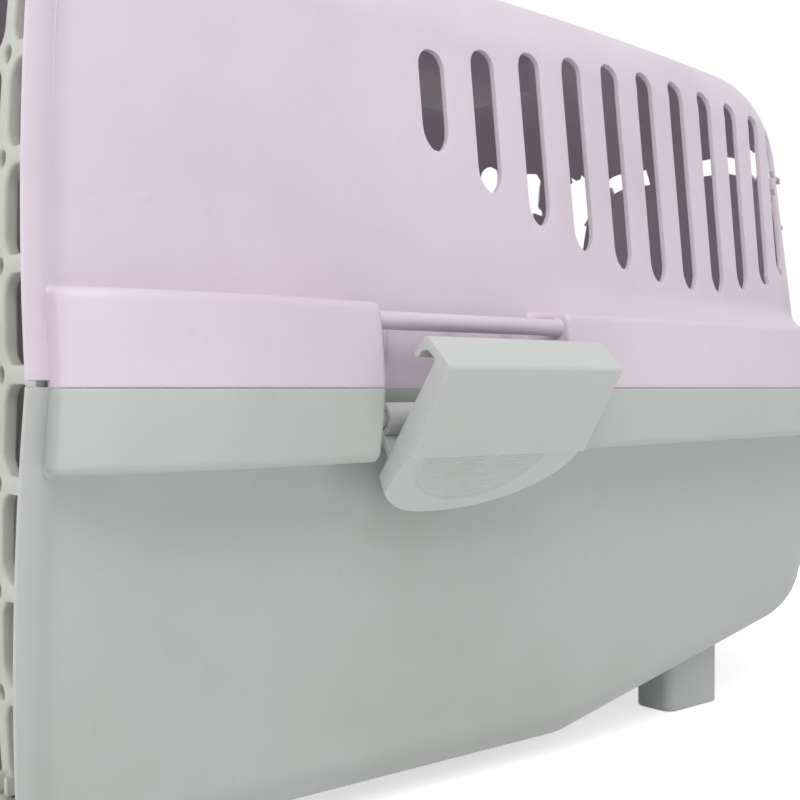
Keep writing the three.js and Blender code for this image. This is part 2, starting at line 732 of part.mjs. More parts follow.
// A latch in its closed position: pin axis at the origin, along y, reaching outwards in x and up in z
function latch() {
  const half = latchGap / 2 - latchEndGap;
  const [barA, barB] = [barX - pinX, barUp + pinDown];
  const inner = barRadius + hookClearance;
  const t = latchPlate;
  const tipA = barA - hookBeak;
  const swing = Math.hypot(barA, barB) + barRadius + gap; // the beak swings clear of the bar
  const beakB = Math.sqrt(swing ** 2 - tipA ** 2);
  const slope = (latchStepOut - latchReach) / (latchTop - latchStepUp);
  const front = (b) => latchStepOut + (latchStepUp - b) * slope;
  const outline = [
    [tipA, beakB], [tipA, latchTop], [latchReach, latchTop], [latchStepOut, latchStepUp],
    [latchStepOut - latchFlapStep, latchStepUp], [latchFlapOut, -latchFlapDown],
    [latchFlapOut - t, -latchFlapDown + t / 3], [front(latchStepUp) - latchFlapStep - t, latchStepUp],
    [front(barB) - t, barB + inner], [barA - hookClearance, barB + inner],
  ];
  const drawn = (points) => points.map(([a, b]) => new THREE.Vector2(a, b));
  const across = (points, from, to) => {
    const shape = new THREE.Shape(drawn(points));
    const geometry = new THREE.ExtrudeGeometry(shape, { depth: to - from, bevelEnabled: false });
    geometry.rotateX(Math.PI / 2);
    geometry.translate(0, to, 0);
    return solid(geometry);
  };
  const short = half - clipShort;
  const clip = cut(
    rod('y', clipRadius, [0, 0], -short, short, sides.bar),
    rod('y', pinRadius + gap, [0, 0], -half, half, sides.bar),
    across([
      [0, 0], [-2 * clipRadius, 2 * clipRadius * Math.tan(Math.PI * clipMouthShare)],
      [-2 * clipRadius, -2 * clipRadius * Math.tan(Math.PI * clipMouthShare)],
    ], -half, half),
  );
  const middle = (clipRadius + pinRadius + gap) / 2;
  const root = middle * Math.SQRT1_2;
  const web = across([
    [root, -root - webThick / 2], [root + webThick / 2, -root + webThick / 2],
    [latchFlapOut - t / 2, -latchFlapDown / 2 + webThick / 2],
    [latchFlapOut - t / 2, -latchFlapDown / 2 - webThick / 2],
  ], -short, short);
  const cheekTop = barA + barRadius + hookClearance;
  const cheek = [
    [cheekTop, latchTop - t / 2], [latchReach - t / 2, latchTop - t / 2],
    [latchStepOut - t, latchStepUp], [latchFlapOut - t / 2, -latchFlapDown + t],
    [latchFlapOut - latchCheek, -latchFlapDown + latchCheek],
    [latchStepOut - latchFlapStep - latchCheek, latchStepUp],
    [cheekTop, barB - barRadius - latchCheek],
  ];
  return join(
    across(outline, -half, half), clip, web,
    across(cheek, -half, -half + latchCheekThick), across(cheek, half - latchCheekThick, half),
  );
}

// The bail lying flat in its recess: two arms, a grip and a pin at each foot
function carryHandle() {
  const floor = upperHeight - recessDepth + handleFloorGap;
  const [front, rear] = [recessFront + handleEndGap, recessFront + recessLength - handleEndGap];
  const outside = recessHalf - handleSideGap;
  const foot = handlePivotX - handleArm / 3;
  const body = rounded([
    [foot, front, handleArm / 3], [outside, front, handleArmRound],
    [outside, rear, handleArmRound], [foot, rear, handleArm / 3],
    [foot, rear - handleArm, handleArm / 3], [outside - handleGrip, rear - handleArm, handleArmRound],
    [outside - handleGrip, front + handleArm, handleArmRound], [foot, front + handleArm, handleArm / 3],
  ]);
  const pinZ = floor + handleThick / 2;
  const pin = (from, to) => rod('y', handlePinRadius, [handlePivotX, pinZ], from, to);
  return join(
    prism(body, 'z', floor, floor + handleThick),
    pin(recessFront - wall, front + handleArm / 2),
    pin(rear - handleArm / 2, recessFront + recessLength + wall),
  );
}

// The colours of the moulded plastics and of the spring
const finishes = {
  lilac: { color: 0xd8cbd7, roughness: 0.42, metalness: 0 },
  grey: { color: 0xc0c3c1, roughness: 0.45, metalness: 0 },
  door: { color: 0xc2c4ba, roughness: 0.42, metalness: 0 },
  latch: { color: 0xc9cccb, roughness: 0.4, metalness: 0 },
  steel: { color: 0xb8bab9, roughness: 0.3, metalness: 1 },
};

function piece(name, form, finish) {
  const { vertProperties, triVerts } = form.getMesh();
  const geometry = new THREE.BufferGeometry();
  geometry.setAttribute('position', new THREE.BufferAttribute(new Float32Array(vertProperties), 3));
  geometry.setIndex(new THREE.BufferAttribute(new Uint32Array(triVerts), 1));
  geometry.computeVertexNormals();
  const mesh = new THREE.Mesh(geometry, new THREE.MeshStandardMaterial(finishes[finish]));
  mesh.name = name;
  return mesh;
}

// A latch mesh on its pin, opened, on the side of the carrier that a turn about z names
function placedLatch(name, turn, x, y) {
  const mesh = piece(name, latch(), 'latch');
  mesh.rotation.set(0, THREE.MathUtils.degToRad(latchOpenAngle), 0);
  const seat = new THREE.Group();
  seat.rotation.z = turn;
  seat.position.set(x, y, -pinDown);
  seat.add(mesh);
  return seat;
}

const carrier = new THREE.Group();
carrier.add(
  piece('lower_shell', lowerShell(), 'grey'),
  piece('upper_shell', upperShell(), 'lilac'),
  piece('door_grille', doorGrille(), 'door'),
  piece('door_bolt_upper', doorBolt(1, doorTop), 'door'),
  piece('door_bolt_lower', doorBolt(-1, doorBottom), 'door'),
  piece('door_latch_spring', latchSpring(), 'steel'),
  piece('door_latch_cover', latchCover(), 'door'),
  piece('carry_handle', carryHandle(), 'grey'),
  placedLatch('latch_right', 0, pinX, latchMiddle),
  placedLatch('latch_left', Math.PI, -pinX, latchMiddle),
  placedLatch('latch_rear', Math.PI / 2, 0, pinRear),
);

// The origin is under the middle of the whole carrier as it stands, on the ground
const extent = new THREE.Box3().setFromObject(carrier, true);
const middle = extent.getCenter(new THREE.Vector3());
carrier.position.set(-middle.x, -middle.y, -extent.min.z);

export default carrier;
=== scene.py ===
"""A two-shell plastic pet carrier, dressed: satin lid and tub, grille door, snap latches, handle."""
import math

import bmesh
import bpy
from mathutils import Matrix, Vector


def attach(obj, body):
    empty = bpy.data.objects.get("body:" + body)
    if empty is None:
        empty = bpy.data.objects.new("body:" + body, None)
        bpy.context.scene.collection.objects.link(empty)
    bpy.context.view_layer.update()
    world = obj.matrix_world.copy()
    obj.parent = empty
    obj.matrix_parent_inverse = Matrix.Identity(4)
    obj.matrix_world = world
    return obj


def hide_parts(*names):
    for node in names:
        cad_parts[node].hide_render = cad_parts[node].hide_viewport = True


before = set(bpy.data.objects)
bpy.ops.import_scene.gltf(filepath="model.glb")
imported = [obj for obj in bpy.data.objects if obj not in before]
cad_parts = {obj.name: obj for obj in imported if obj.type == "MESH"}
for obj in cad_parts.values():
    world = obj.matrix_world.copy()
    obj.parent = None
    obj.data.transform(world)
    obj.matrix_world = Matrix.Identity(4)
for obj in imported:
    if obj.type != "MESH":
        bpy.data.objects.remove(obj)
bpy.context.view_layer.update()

# Places and sizes are in millimetres in the carrier's own drawing frame: x from the middle plane,
# u backwards from the front edge, z upwards from the seam. place() turns them into the row frame.
SHIFT_U = -310.9274
SHIFT_Z = 184.3


def place(x, u, z):
    return Vector((x, u + SHIFT_U, z + SHIFT_Z)) * 0.001


# Body of both shells
WALL = 2.5
WALL_EDGE = 0.75
LENGTH = 570.0
HALF = 164.0
BOW = 1200.0
RIM_FLARE = 4.5
RIM_FLAT = 3.0
RIM_LENGTH = 18.0
REAR_ROUND = 95.0
REAR_HALF = 80.0
LID = {
    "sign": 1, "height": 196.3, "lean": 0.115, "tall": 48.0, "wide": 68.0, "rear": 60.0, "notch": 2.6,
    "sweep": 0.0, "draws": True,
}
TUB = {
    "sign": -1, "height": 177.3, "lean": 0.2, "tall": 26.0, "wide": 34.0, "rear": 60.0, "notch": 0.0,
    "sweep": 0.21, "draws": False,
}
SWEEP_FROM = 300.0
BOW_LENGTH = 150.0
NOTCH_U, NOTCH_FADE, NOTCH_HEIGHT = 13.0, 4.0, 30.0

# How the lid's side walls draw in over the belt, towards the rear
DRAW_FROM = 152.0
DRAW_BOW = 1409.0
DRAW_LOW = 12.0
DRAW_HIGH = 50.0
DRAW_ROUND_SHARE = 0.3

# The door's edges, and the pins and bolts behind it
DOOR_HALF = HALF - 5.4
DOOR_TOP = LID["height"] - 34.5
DOOR_BOTTOM = TUB["height"] - 25.5
HINGE_X = -119.6
BOLT_X = 96.0
PINS_U = 26.955

# Latch gaps, bars and pins
GAP_FRONT = 132.0
GAP = 103.0
MIDDLE = GAP_FRONT + GAP / 2
BAR = (178.0, 26.0, 3.6)
PIN = (169.5, -12.2, 4.0)
REAR_BAR_U = LENGTH + 14.0
REAR_PIN_U = LENGTH + 5.5


def bow(z):
    return z * z / (2 * BOW)


def smooth(low, high, value):
    share = min(max((value - low) / (high - low), 0.0), 1.0)
    return share * share * (3 - 2 * share)


def quarter_turns(steps):
    return [math.pi / 2 * k / steps for k in range(steps + 1)]


# Making meshes


def grid_skin(columns, rows, at):
    """A bmesh grid, columns by rows, whose points at(a, b) puts in place, a and b from 0 to 1."""
    bm = bmesh.new()
    bmesh.ops.create_grid(bm, x_segments=columns, y_segments=rows, size=1.0)
    where = bm.verts.layers.float_vector.new("place")
    for v in bm.verts:
        v[where] = ((v.co.x + 1) / 2, (v.co.y + 1) / 2, 0)
        v.co = at(v[where][0], v[where][1])
    return bm


def lofted(rings):
    """A skin through rings of equally many points, closed round the rings and at both ends."""
    columns, rows = len(rings[0]), len(rings) - 1
    bm = grid_skin(columns, rows, lambda a, b: rings[round(b * rows)][round(a * columns) % columns])
    bmesh.ops.remove_doubles(bm, verts=bm.verts, dist=0.01)
    bmesh.ops.dissolve_degenerate(bm, edges=bm.edges, dist=0.005)
    bmesh.ops.holes_fill(bm, edges=[e for e in bm.edges if e.is_boundary], sides=0)
    bmesh.ops.triangulate(bm, faces=[f for f in bm.faces if len(f.verts) > 4])
    bmesh.ops.recalc_face_normals(bm, faces=bm.faces)
    return bm


def add_object(name, data):
    obj = bpy.data.objects.new(name, data)
    bpy.context.scene.collection.objects.link(obj)
    return obj


def piece(name, bm, finish, smooth_angle=35.0):
    """Puts a bmesh drawn in millimetres in its place as an object."""
    for layer in list(bm.verts.layers.float_vector):
        bm.verts.layers.float_vector.remove(layer)
    for v in bm.verts:
        v.co = place(*v.co)
    mesh = bpy.data.meshes.new(name)
    bm.to_mesh(mesh)
    bm.free()
    obj = add_object(name, mesh)
    mesh.materials.append(finish)
    shade(obj, smooth_angle)
    return obj


def shade(obj, angle):
    """Smooth shading, with edges sharper than the angle kept crisp."""
    bm = bmesh.new()
    bm.from_mesh(obj.data)
    for face in bm.faces:
        face.smooth = True
    for edge in bm.edges:
        edge.smooth = len(edge.link_faces) != 2 or edge.calc_face_angle(0.0) < math.radians(angle)
    bm.to_mesh(obj.data)
    bm.free()


def settle(obj):
    """Applies the modifiers of a piece to its mesh."""
    graph = bpy.context.evaluated_depsgraph_get()
    done = bpy.data.meshes.new_from_object(obj.evaluated_get(graph), depsgraph=graph)
    done.name = obj.name
    obj.modifiers.clear()
    obj.data = done
    return obj


def carve(obj, cutters):
    """Cuts the cutters out of a piece and takes them away."""
    for cutter in cutters:
        cut = obj.modifiers.new(cutter.name, "BOOLEAN")
        cut.operation = "DIFFERENCE"
        cut.solver = "EXACT"
        cut.object = cutter
    settle(obj)
    for cutter in cutters:
        bpy.data.objects.remove(cutter)
    return obj


def gather(obj, *others):
    """Puts the meshes of other pieces into a piece's own mesh."""
    bm = bmesh.new()
    bm.from_mesh(obj.data)
    for other in others:
        bm.from_mesh(other.data)
        bpy.data.objects.remove(other)
    bm.to_mesh(obj.data)
    bm.free()
    return obj


# Camera, light and floor


def look(eye, direction, lens):
    data = bpy.data.cameras.new("camera")
    data.sensor_width = 36.0
    data.lens = lens
    obj = add_object("camera", data)
    obj.location = eye
    obj.rotation_euler = Vector(direction).to_track_quat("-Z", "Y").to_euler()
    bpy.context.scene.camera = obj


look((0.549, -0.4759, 0.1843), (-0.766, 0.643, -0.0096), 56.25)


def soft_light(name, spot, target, width, height, watts):
    data = bpy.data.lights.new(name, "AREA")
    data.shape = "RECTANGLE"
    data.size = width
    data.size_y = height
    data.energy = watts
    obj = add_object(name, data)
    obj.location = spot
    obj.rotation_euler = (Vector(target) - Vector(spot)).to_track_quat("-Z", "Y").to_euler()


# Shader maths: a wrapped socket that takes Python's operators
class Value:
    def __init__(self, tree, socket):
        self.tree, self.socket = tree, socket

    def maths(self, operation, *others):
        made = self.tree.nodes.new("ShaderNodeMath")
        made.operation = operation
        for slot, value in zip(made.inputs, (self, *others)):
            feed(self.tree, slot, value)
        return Value(self.tree, made.outputs[0])

    def __add__(self, other):
        return self.maths("ADD", other)

    __radd__ = __add__

    def __mul__(self, other):
        return self.maths("MULTIPLY", other)

    __rmul__ = __mul__


def feed(tree, slot, value):
    if isinstance(value, Value):
        tree.links.new(value.socket, slot)
    else:
        slot.default_value = value


def add_node(tree, kind, settings=None, output=0, **inputs):
    """A node with its settings made first, then the values or links of its named sockets."""
    made = tree.nodes.new(kind)
    for name, value in (settings or {}).items():
        if name == "stops":
            for element, (position, level) in zip(made.color_ramp.elements, value):
                element.position = position
                element.color = (level, level, level, 1)
        else:
            setattr(made, name, value)
    for name, value in inputs.items():
        slot = next(s for s in made.inputs if s.name.replace(" ", "_") == name and s.enabled)
        feed(tree, slot, value)
    return Value(tree, made.outputs[output])


def srgb(*levels):
    """A colour written as it looks on the screen, 0 to 255, as the renderer's linear value."""
    def linear(level):
        share = level / 255
        return share / 12.92 if share <= 0.04045 else ((share + 0.055) / 1.055) ** 2.4
    return (*map(linear, levels), 1)


def new_material(name):
    """A material with nodes, and its shader."""
    material = bpy.data.materials.new(name)
    material.use_nodes = True
    return material, next(n for n in material.node_tree.nodes if n.type == "BSDF_PRINCIPLED")


def moulded_plastic(name, colour, dusty, roughness):
    """Moulded plastic: a fine matt grain, faint flow marks and a little dust and wear in the colour."""
    material, shader = new_material(name)
    tree = material.node_tree
    spot = add_node(tree, "ShaderNodeTexCoord", output=3)
    fine = add_node(tree, "ShaderNodeTexNoise", Vector=spot, Scale=2600.0, Detail=3.0, Roughness=0.6)
    flow = add_node(tree, "ShaderNodeTexNoise", Vector=spot, Scale=9.0, Detail=4.0, Roughness=0.55)
    marks = add_node(tree, "ShaderNodeTexNoise", Vector=spot, Scale=130.0, Detail=6.0, Roughness=0.7)
    patch = add_node(tree, "ShaderNodeValToRGB", {"stops": [(0.42, 0), (0.66, 1)]}, Fac=flow)
    speck = add_node(tree, "ShaderNodeValToRGB", {"stops": [(0.60, 0), (0.74, 1)]}, Fac=marks)
    worn = patch * 0.45 + speck * 0.35
    blend = add_node(tree, "ShaderNodeMix", {"data_type": "RGBA"}, output=2, Factor=worn, A=colour, B=dusty)
    feed(tree, shader.inputs["Base Color"], blend)
    feed(tree, shader.inputs["Roughness"], roughness + worn * 0.10 + fine * 0.06)
    height = fine * 0.5 + marks * 0.35 + flow * 0.6
    bump = add_node(tree, "ShaderNodeBump", Height=height, Strength=0.12, Distance=0.0004)
    feed(tree, shader.inputs["Normal"], bump)
    shader.inputs["IOR"].default_value = 1.49
    return material


lilac = moulded_plastic("lid_lilac", srgb(221, 208, 220), srgb(205, 191, 201), 0.40)
grey = moulded_plastic("tub_grey", srgb(192, 195, 193), srgb(178, 180, 176), 0.44)
warm = moulded_plastic("door_warm_grey", srgb(196, 197, 190), srgb(179, 178, 168), 0.42)
pale = moulded_plastic("latch_pale_grey", srgb(205, 208, 207), srgb(190, 192, 188), 0.38)


def drawn_steel():
    """Bright spring wire with fine wear."""
    material, shader = new_material("spring_wire")
    tree = material.node_tree
    spot = add_node(tree, "ShaderNodeTexCoord", output=3)
    wear = add_node(tree, "ShaderNodeTexNoise", Vector=spot, Scale=900.0, Detail=3.0)
    shader.inputs["Base Color"].default_value = srgb(202, 204, 205)
    shader.inputs["Metallic"].default_value = 1.0
    feed(tree, shader.inputs["Roughness"], wear * 0.25 + 0.18)
    return material


steel = drawn_steel()


# Solid pieces drawn as an outline that runs along a line, with rounded ends
def rounded(corners, steps=5):
    """Corner points of a polygon, each corner rounded by its own radius."""
    points = []
    for i, (x, y, radius) in enumerate(corners):
        here = Vector((x, y))
        back = Vector(corners[i - 1][:2]) - here
        on = Vector(corners[(i + 1) % len(corners)][:2]) - here
        limit = min(back.length, on.length) / 2
        back.normalize()
        on.normalize()
        half = math.acos(min(max(back.dot(on), -1.0), 1.0)) / 2
        if radius == 0:
            points.append(here)
            continue
        reach = max(min(radius / math.tan(half), limit), 0.001)
        turn = reach * math.tan(half)
        centre = here + (back + on).normalized() * (turn / math.sin(half))
        start, stop = here + back * reach - centre, here + on * reach - centre
        for k in range(steps + 1):
            share = k / steps
            points.append(centre + (start * (1 - share) + stop * share).normalized() * turn)
    return points


def drawn_in(outline, amount):
    """The outline with every point moved inwards along its own normal."""
    area = sum(p.x * q.y - q.x * p.y for p, q in zip(outline, outline[1:] + outline[:1]))
    side = 1 if area > 0 else -1
    moved = []
    for i, here in enumerate(outline):
        before, after = outline[i - 1], outline[(i + 1) % len(outline)]
        first, second = (here - before).normalized(), (after - here).normalized()
        normal = Vector((-(first.y + second.y), first.x + second.x)).normalized()
        moved.append(here + normal * (amount * side))
    return moved


def rounded_stations(start, end, edge, middle):
    """Places along a run from one end to the other, each with how far the outline is drawn in there."""
    ends = [(edge * (1 - math.sin(t)), edge * (1 - math.cos(t))) for t in quarter_turns(4)]
    places = [(start + away, drawn) for drawn, away in ends]
    inner = (end - start - 2 * edge) / (middle + 1)
    places += [(start + edge + inner * (k + 1), 0.0) for k in range(middle)]
    return places + [(end - away, drawn) for drawn, away in reversed(ends)]


def run_solid(outline, start, end, edge, put, middle=1, shape=None):
    """An outline run from start to end, its ends rounded; put() turns (p, q, run) into a place."""
    rings = []
    for run, drawn in rounded_stations(start, end, edge, middle):
        here = shape(run) if shape else outline
        if drawn > 1e-6:
            here = drawn_in(here, drawn)
        rings.append([put(p.x, p.y, run) for p in here])
    return lofted(rings)


def along_z(p, q, run):
    return Vector((p, q, run))


def brick(x0, x1, u0, u1, z0, z1, edge, corner=None):
    """A block with all its edges rounded."""
    corner = edge if corner is None else corner
    outline = rounded([(x0, u0, corner), (x1, u0, corner), (x1, u1, corner), (x0, u1, corner)])
    return run_solid(outline, z0, z1, edge, along_z)


# The two shells
def half_outline(shell, inset):
    """Points of one half of a cross-section, from the seam edge up the side to the middle of the roof."""
    side_top = shell["height"] - shell["tall"]
    wide, tall = shell["wide"] - inset, shell["tall"] - inset
    side = HALF - inset - shell["lean"] * side_top
    turn_length = (wide + tall) / 2 * math.pi / 2
    lengths = (side_top, turn_length, side - wide)
    return side_top, wide, tall, side, lengths


def section_point(shell, inset, a):
    """(x, height) on a cross-section. a runs from 0 at the right seam edge to 1 at the left one."""
    side_top, wide, tall, side, lengths = half_outline(shell, inset)
    mirror = 1 if a <= 0.5 else -1
    run = min(2 * a, 2 - 2 * a) * sum(lengths)
    if run <= lengths[0]:
        return mirror * (HALF - inset - shell["lean"] * run), run
    run -= lengths[0]
    if run <= lengths[1]:
        turn = run / lengths[1] * math.pi / 2
        return mirror * (side - wide * (1 - math.cos(turn))), side_top + tall * math.sin(turn)
    run -= lengths[1]
    return mirror * max(side - wide - run, 0.0), side_top + tall


FRONT_SHARE = 0.06
REAR_SHARE = 0.80
WALL_SHARE = 0.90


def skin_point(shell, a, b, inset=0.0):
    """A point of a shell's skin in the drawing frame. b runs from the front edge over the rear wall."""
    x, height = section_point(shell, inset, a)
    lean_back, drawn, shrink, flare = 0.0, 0.0, 0.0, 0.0
    if b <= FRONT_SHARE:
        u = RIM_LENGTH * b / FRONT_SHARE
        turn = min(max((u - RIM_FLAT) / (RIM_LENGTH - RIM_FLAT), 0.0), 1.0)
        flare = RIM_FLARE * (1 + math.cos(math.pi * turn)) / 2
    elif b <= REAR_SHARE:
        share = (b - FRONT_SHARE) / (REAR_SHARE - FRONT_SHARE)
        u = RIM_LENGTH + (LENGTH - REAR_ROUND - RIM_LENGTH) * share
    else:
        turn = min((b - REAR_SHARE) / (WALL_SHARE - REAR_SHARE), 1.0) * math.pi / 2
        u = LENGTH - inset - (REAR_ROUND - inset) * (1 - math.sin(turn))
        drawn = 1 - math.cos(turn)
        lean_back = math.sin(turn)
        shrink = max(b - WALL_SHARE, 0.0) / (1 - WALL_SHARE)
    over = smooth(DRAW_LOW, DRAW_HIGH, height) if shell["draws"] else 0.0
    rounding = (REAR_HALF - inset) * drawn * (1 - over * (1 - DRAW_ROUND_SHARE))
    draw_in = over * max(0.0, u - DRAW_FROM) ** 2 / (2 * DRAW_BOW)
    rise = shell["sweep"] * max(0.0, u - SWEEP_FROM)
    x *= 1 + (flare - rounding - draw_in) / HALF
    height *= 1 + (flare - (shell["rear"] - inset) * drawn - rise) / shell["height"]
    x *= 1 - shrink
    height *= 1 - shrink
    if u < NOTCH_U and height < NOTCH_HEIGHT:
        notch = shell["notch"] * (1 - smooth(NOTCH_U - NOTCH_FADE, NOTCH_U, u))
        height = notch + height * (1 - notch / NOTCH_HEIGHT)
    bowed = bow(height) * max(0.0, 1 - u / BOW_LENGTH)
    section_height = section_point(shell, inset, a)[1] * (1 - shrink)
    u -= lean_back * shell["lean"] * section_height
    return Vector((x, u + bowed, shell["sign"] * height))


SLOT_COUNT = 12
SLOT_FIRST = 189.2
SLOT_PITCH = 31.8
SLOT_HALF = 7.5
SLOT_TIP = 11.0
SLOT_LOW, SLOT_LOW_AT, SLOT_LOW_BOW = 51.5, 388.0, 407.0
SLOT_HIGH, SLOT_HIGH_AT, SLOT_HIGH_BOW = 165.0, 400.0, 1100.0


def slot_outline(middle, low, high):
    """Points round a vent slot: a pointed lower tip, straight sides and a rounded top."""
    points = []
    half, tip = SLOT_HALF, SLOT_TIP
    steps = 10
    for k in range(steps):
        share = k / steps
        points.append((middle + half * math.sin(share * math.pi / 2) ** 0.8, low + tip * share ** 1.35))
    rise = 8
    for k in range(rise):
        points.append((middle + half, low + tip + (high - half - low - tip) * k / rise))
    for turn in quarter_turns(steps):
        points.append((middle + half * math.cos(turn), high - half + half * math.sin(turn)))
    return points + [(2 * middle - p, q) for p, q in reversed(points[1:-1])]


def inside(outline, p, q):
    """Whether a flat point lies within an outline."""
    found = False
    for (p0, q0), (p1, q1) in zip(outline, outline[1:] + outline[:1]):
        if (q0 > q) != (q1 > q) and p < (p1 - p0) * (q - q0) / (q1 - q0) + p0:
            found = not found
    return found


def nearest(outline, p, q):
    """The point of an outline that lies nearest to a flat point."""
    best, where = None, (p, q)
    for (p0, q0), (p1, q1) in zip(outline, outline[1:] + outline[:1]):
        along = ((p - p0) * (p1 - p0) + (q - q0) * (q1 - q0)) / max((p1 - p0) ** 2 + (q1 - q0) ** 2, 1e-9)
        along = min(max(along, 0.0), 1.0)
        x, y = p0 + (p1 - p0) * along, q0 + (q1 - q0) * along
        gap = (x - p) ** 2 + (y - q) ** 2
        if best is None or gap < best:
            best, where = gap, (x, y)
    return where


class Window:
    """A hole in a skin: its outline on one flat view of the skin, and which side it lies on."""
    def __init__(self, outline, view, here):
        self.outline, self.view, self.here = outline, view, here
        self.low = (min(p for p, _ in outline), min(q for _, q in outline))
        self.high = (max(p for p, _ in outline), max(q for _, q in outline))

    def holds(self, point):
        p, q = self.view(point)
        near = self.low[0] <= p <= self.high[0] and self.low[1] <= q <= self.high[1]
        return near and self.here(point) and inside(self.outline, p, q)


def cut_windows(bm, at, windows):
    """Takes the faces inside the windows out of a skin and draws the edges left onto their outlines."""
    where = bm.verts.layers.float_vector["place"]
    reach, furthest, least_facing = 0.006, 3.2, 0.3
    tries, step = 4, 1e-4
    for window in windows:
        gone = [face for face in bm.faces if window.holds(face.calc_center_median())]
        rim = {v for face in gone for v in face.verts}
        bmesh.ops.delete(bm, geom=gone, context="FACES")
        for v in rim:
            if not v.is_valid or not v.link_faces:
                continue
            a, b = v[where][0], v[where][1]
            p1, q1 = nearest(window.outline, *window.view(v.co))
            for _ in range(tries):
                spot, spot_a, spot_b = at(a, b), at(a + step, b), at(a, b + step)
                here, by_a, by_b = window.view(spot), window.view(spot_a), window.view(spot_b)
                miss = (p1 - here[0], q1 - here[1])
                ja = ((by_a[0] - here[0]) / step, (by_a[1] - here[1]) / step)
                jb = ((by_b[0] - here[0]) / step, (by_b[1] - here[1]) / step)
                scale = ja[0] * jb[1] - ja[1] * jb[0]
                area = (spot_a - spot).cross(spot_b - spot).length / step ** 2
                if abs(scale) < least_facing * area + 1e-6:
                    break
                a += min(max((miss[0] * jb[1] - miss[1] * jb[0]) / scale, -reach), reach)
                b += min(max((ja[0] * miss[1] - ja[1] * miss[0]) / scale, -reach), reach)
            if (at(a, b) - v.co).length < furthest:
                v.co = at(a, b)
                v[where] = (a, b, 0)


def thicken(obj, thickness, edge, offset=-1):
    """Gives a skin its wall and rounds the edges of the wall, then applies both."""
    wall = obj.modifiers.new("wall", "SOLIDIFY")
    wall.thickness = thickness * 0.001
    wall.offset = offset
    round_off = obj.modifiers.new("edges", "BEVEL")
    round_off.width = edge * 0.001
    round_off.segments = 3
    round_off.limit_method = "ANGLE"
    round_off.angle_limit = math.radians(40)
    return settle(obj)


def vent_windows():
    """The vent slots on both sides of the lid; their tips and tops lie on two wide arcs."""
    windows = []
    off_middle = 20.0
    for k in range(SLOT_COUNT):
        middle = SLOT_FIRST + k * SLOT_PITCH
        low = SLOT_LOW + (middle - SLOT_LOW_AT) ** 2 / (2 * SLOT_LOW_BOW)
        high = SLOT_HIGH - (middle - SLOT_HIGH_AT) ** 2 / (2 * SLOT_HIGH_BOW)
        for side in (1, -1):
            windows.append(Window(
                slot_outline(middle, low, high), lambda p: (p[1], p[2]),
                lambda p, side=side: p[0] * side > off_middle,
            ))
    return windows


def round_box(low, high, radius, steps=6):
    """An upright rectangle with rounded corners, as points."""
    points = []
    corners = (
        (high[0] - radius, high[1] - radius, 0), (low[0] + radius, high[1] - radius, 1),
        (low[0] + radius, low[1] + radius, 2), (high[0] - radius, low[1] + radius, 3),
    )
    for x, y, quarter in corners:
        for k in range(steps + 1):
            turn = math.pi / 2 * (quarter + k / steps)
            points.append((x + radius * math.cos(turn), y + radius * math.sin(turn)))
    return points


RECESS_LOW = (-33.0, 180.0)
RECESS_HIGH = (33.0, 370.0)
RECESS_DEPTH = 21.0
RECESS_ROUND = 8.0
LID_GRID = (184, 165)
TUB_GRID = (150, 130)


def shell_skin(shell, columns, rows, windows=()):
    def at(a, b):
        return skin_point(shell, a, b)
    bm = grid_skin(columns, rows, at)
    cut_windows(bm, at, windows)
    return bm


def lid_skin():
    """The lid's skin with its vent slots and the handle's recess pressed into the roof."""
    roof, margin = 180.0, 2.0
    outline = round_box(RECESS_LOW, RECESS_HIGH, RECESS_ROUND)
    recess = Window(outline, lambda p: (p[0], p[1]), lambda p: p[2] > roof)
    bm = shell_skin(LID, *LID_GRID, [*vent_windows(), recess])

    def beside_recess(v):
        across = RECESS_LOW[0] - margin < v.co.x < RECESS_HIGH[0] + margin
        return across and RECESS_LOW[1] - margin < v.co.y < RECESS_HIGH[1] + margin and v.co.z > roof
    rim = [e for e in bm.edges if e.is_boundary and all(beside_recess(v) for v in e.verts)]
    made = bmesh.ops.extrude_edge_only(bm, edges=rim)["geom"]
    lowered = [v for v in made if isinstance(v, bmesh.types.BMVert)]
    for v in lowered:
        v.co.z = LID["height"] - RECESS_DEPTH
    foot = [e for e in made if isinstance(e, bmesh.types.BMEdge) and e.is_boundary]
    bmesh.ops.holes_fill(bm, edges=foot, sides=0)
    bmesh.ops.recalc_face_normals(bm, faces=bm.faces)
    return bm


# The belt that stands proud of both shells, in blocks between the latch gaps
BELT_STATIONS = ((7.7, 10.0), (24.0, 18.5), (72.0, 23.7), (150.0, 20.0), (370.8, 21.5), (491.5, 21.5))
BELT_SWELL = 3.8
BELT_ROUND = 4.2
BELT_CORNER = 100.0
BELT_CORNER_AT = (85.5, 491.5)
BELT_REAR = 591.5
BELT_STRAIGHT = 300.0
BELT_BITE = 1.6
BELT_FILLET = 2.2
BELT_END_ROUND = 2.6
LID_BELT, TUB_BELT = 32.5, 28.0
TUB_BELT_FROM, TUB_BELT_LESS_SHARE = 150.0, 0.2


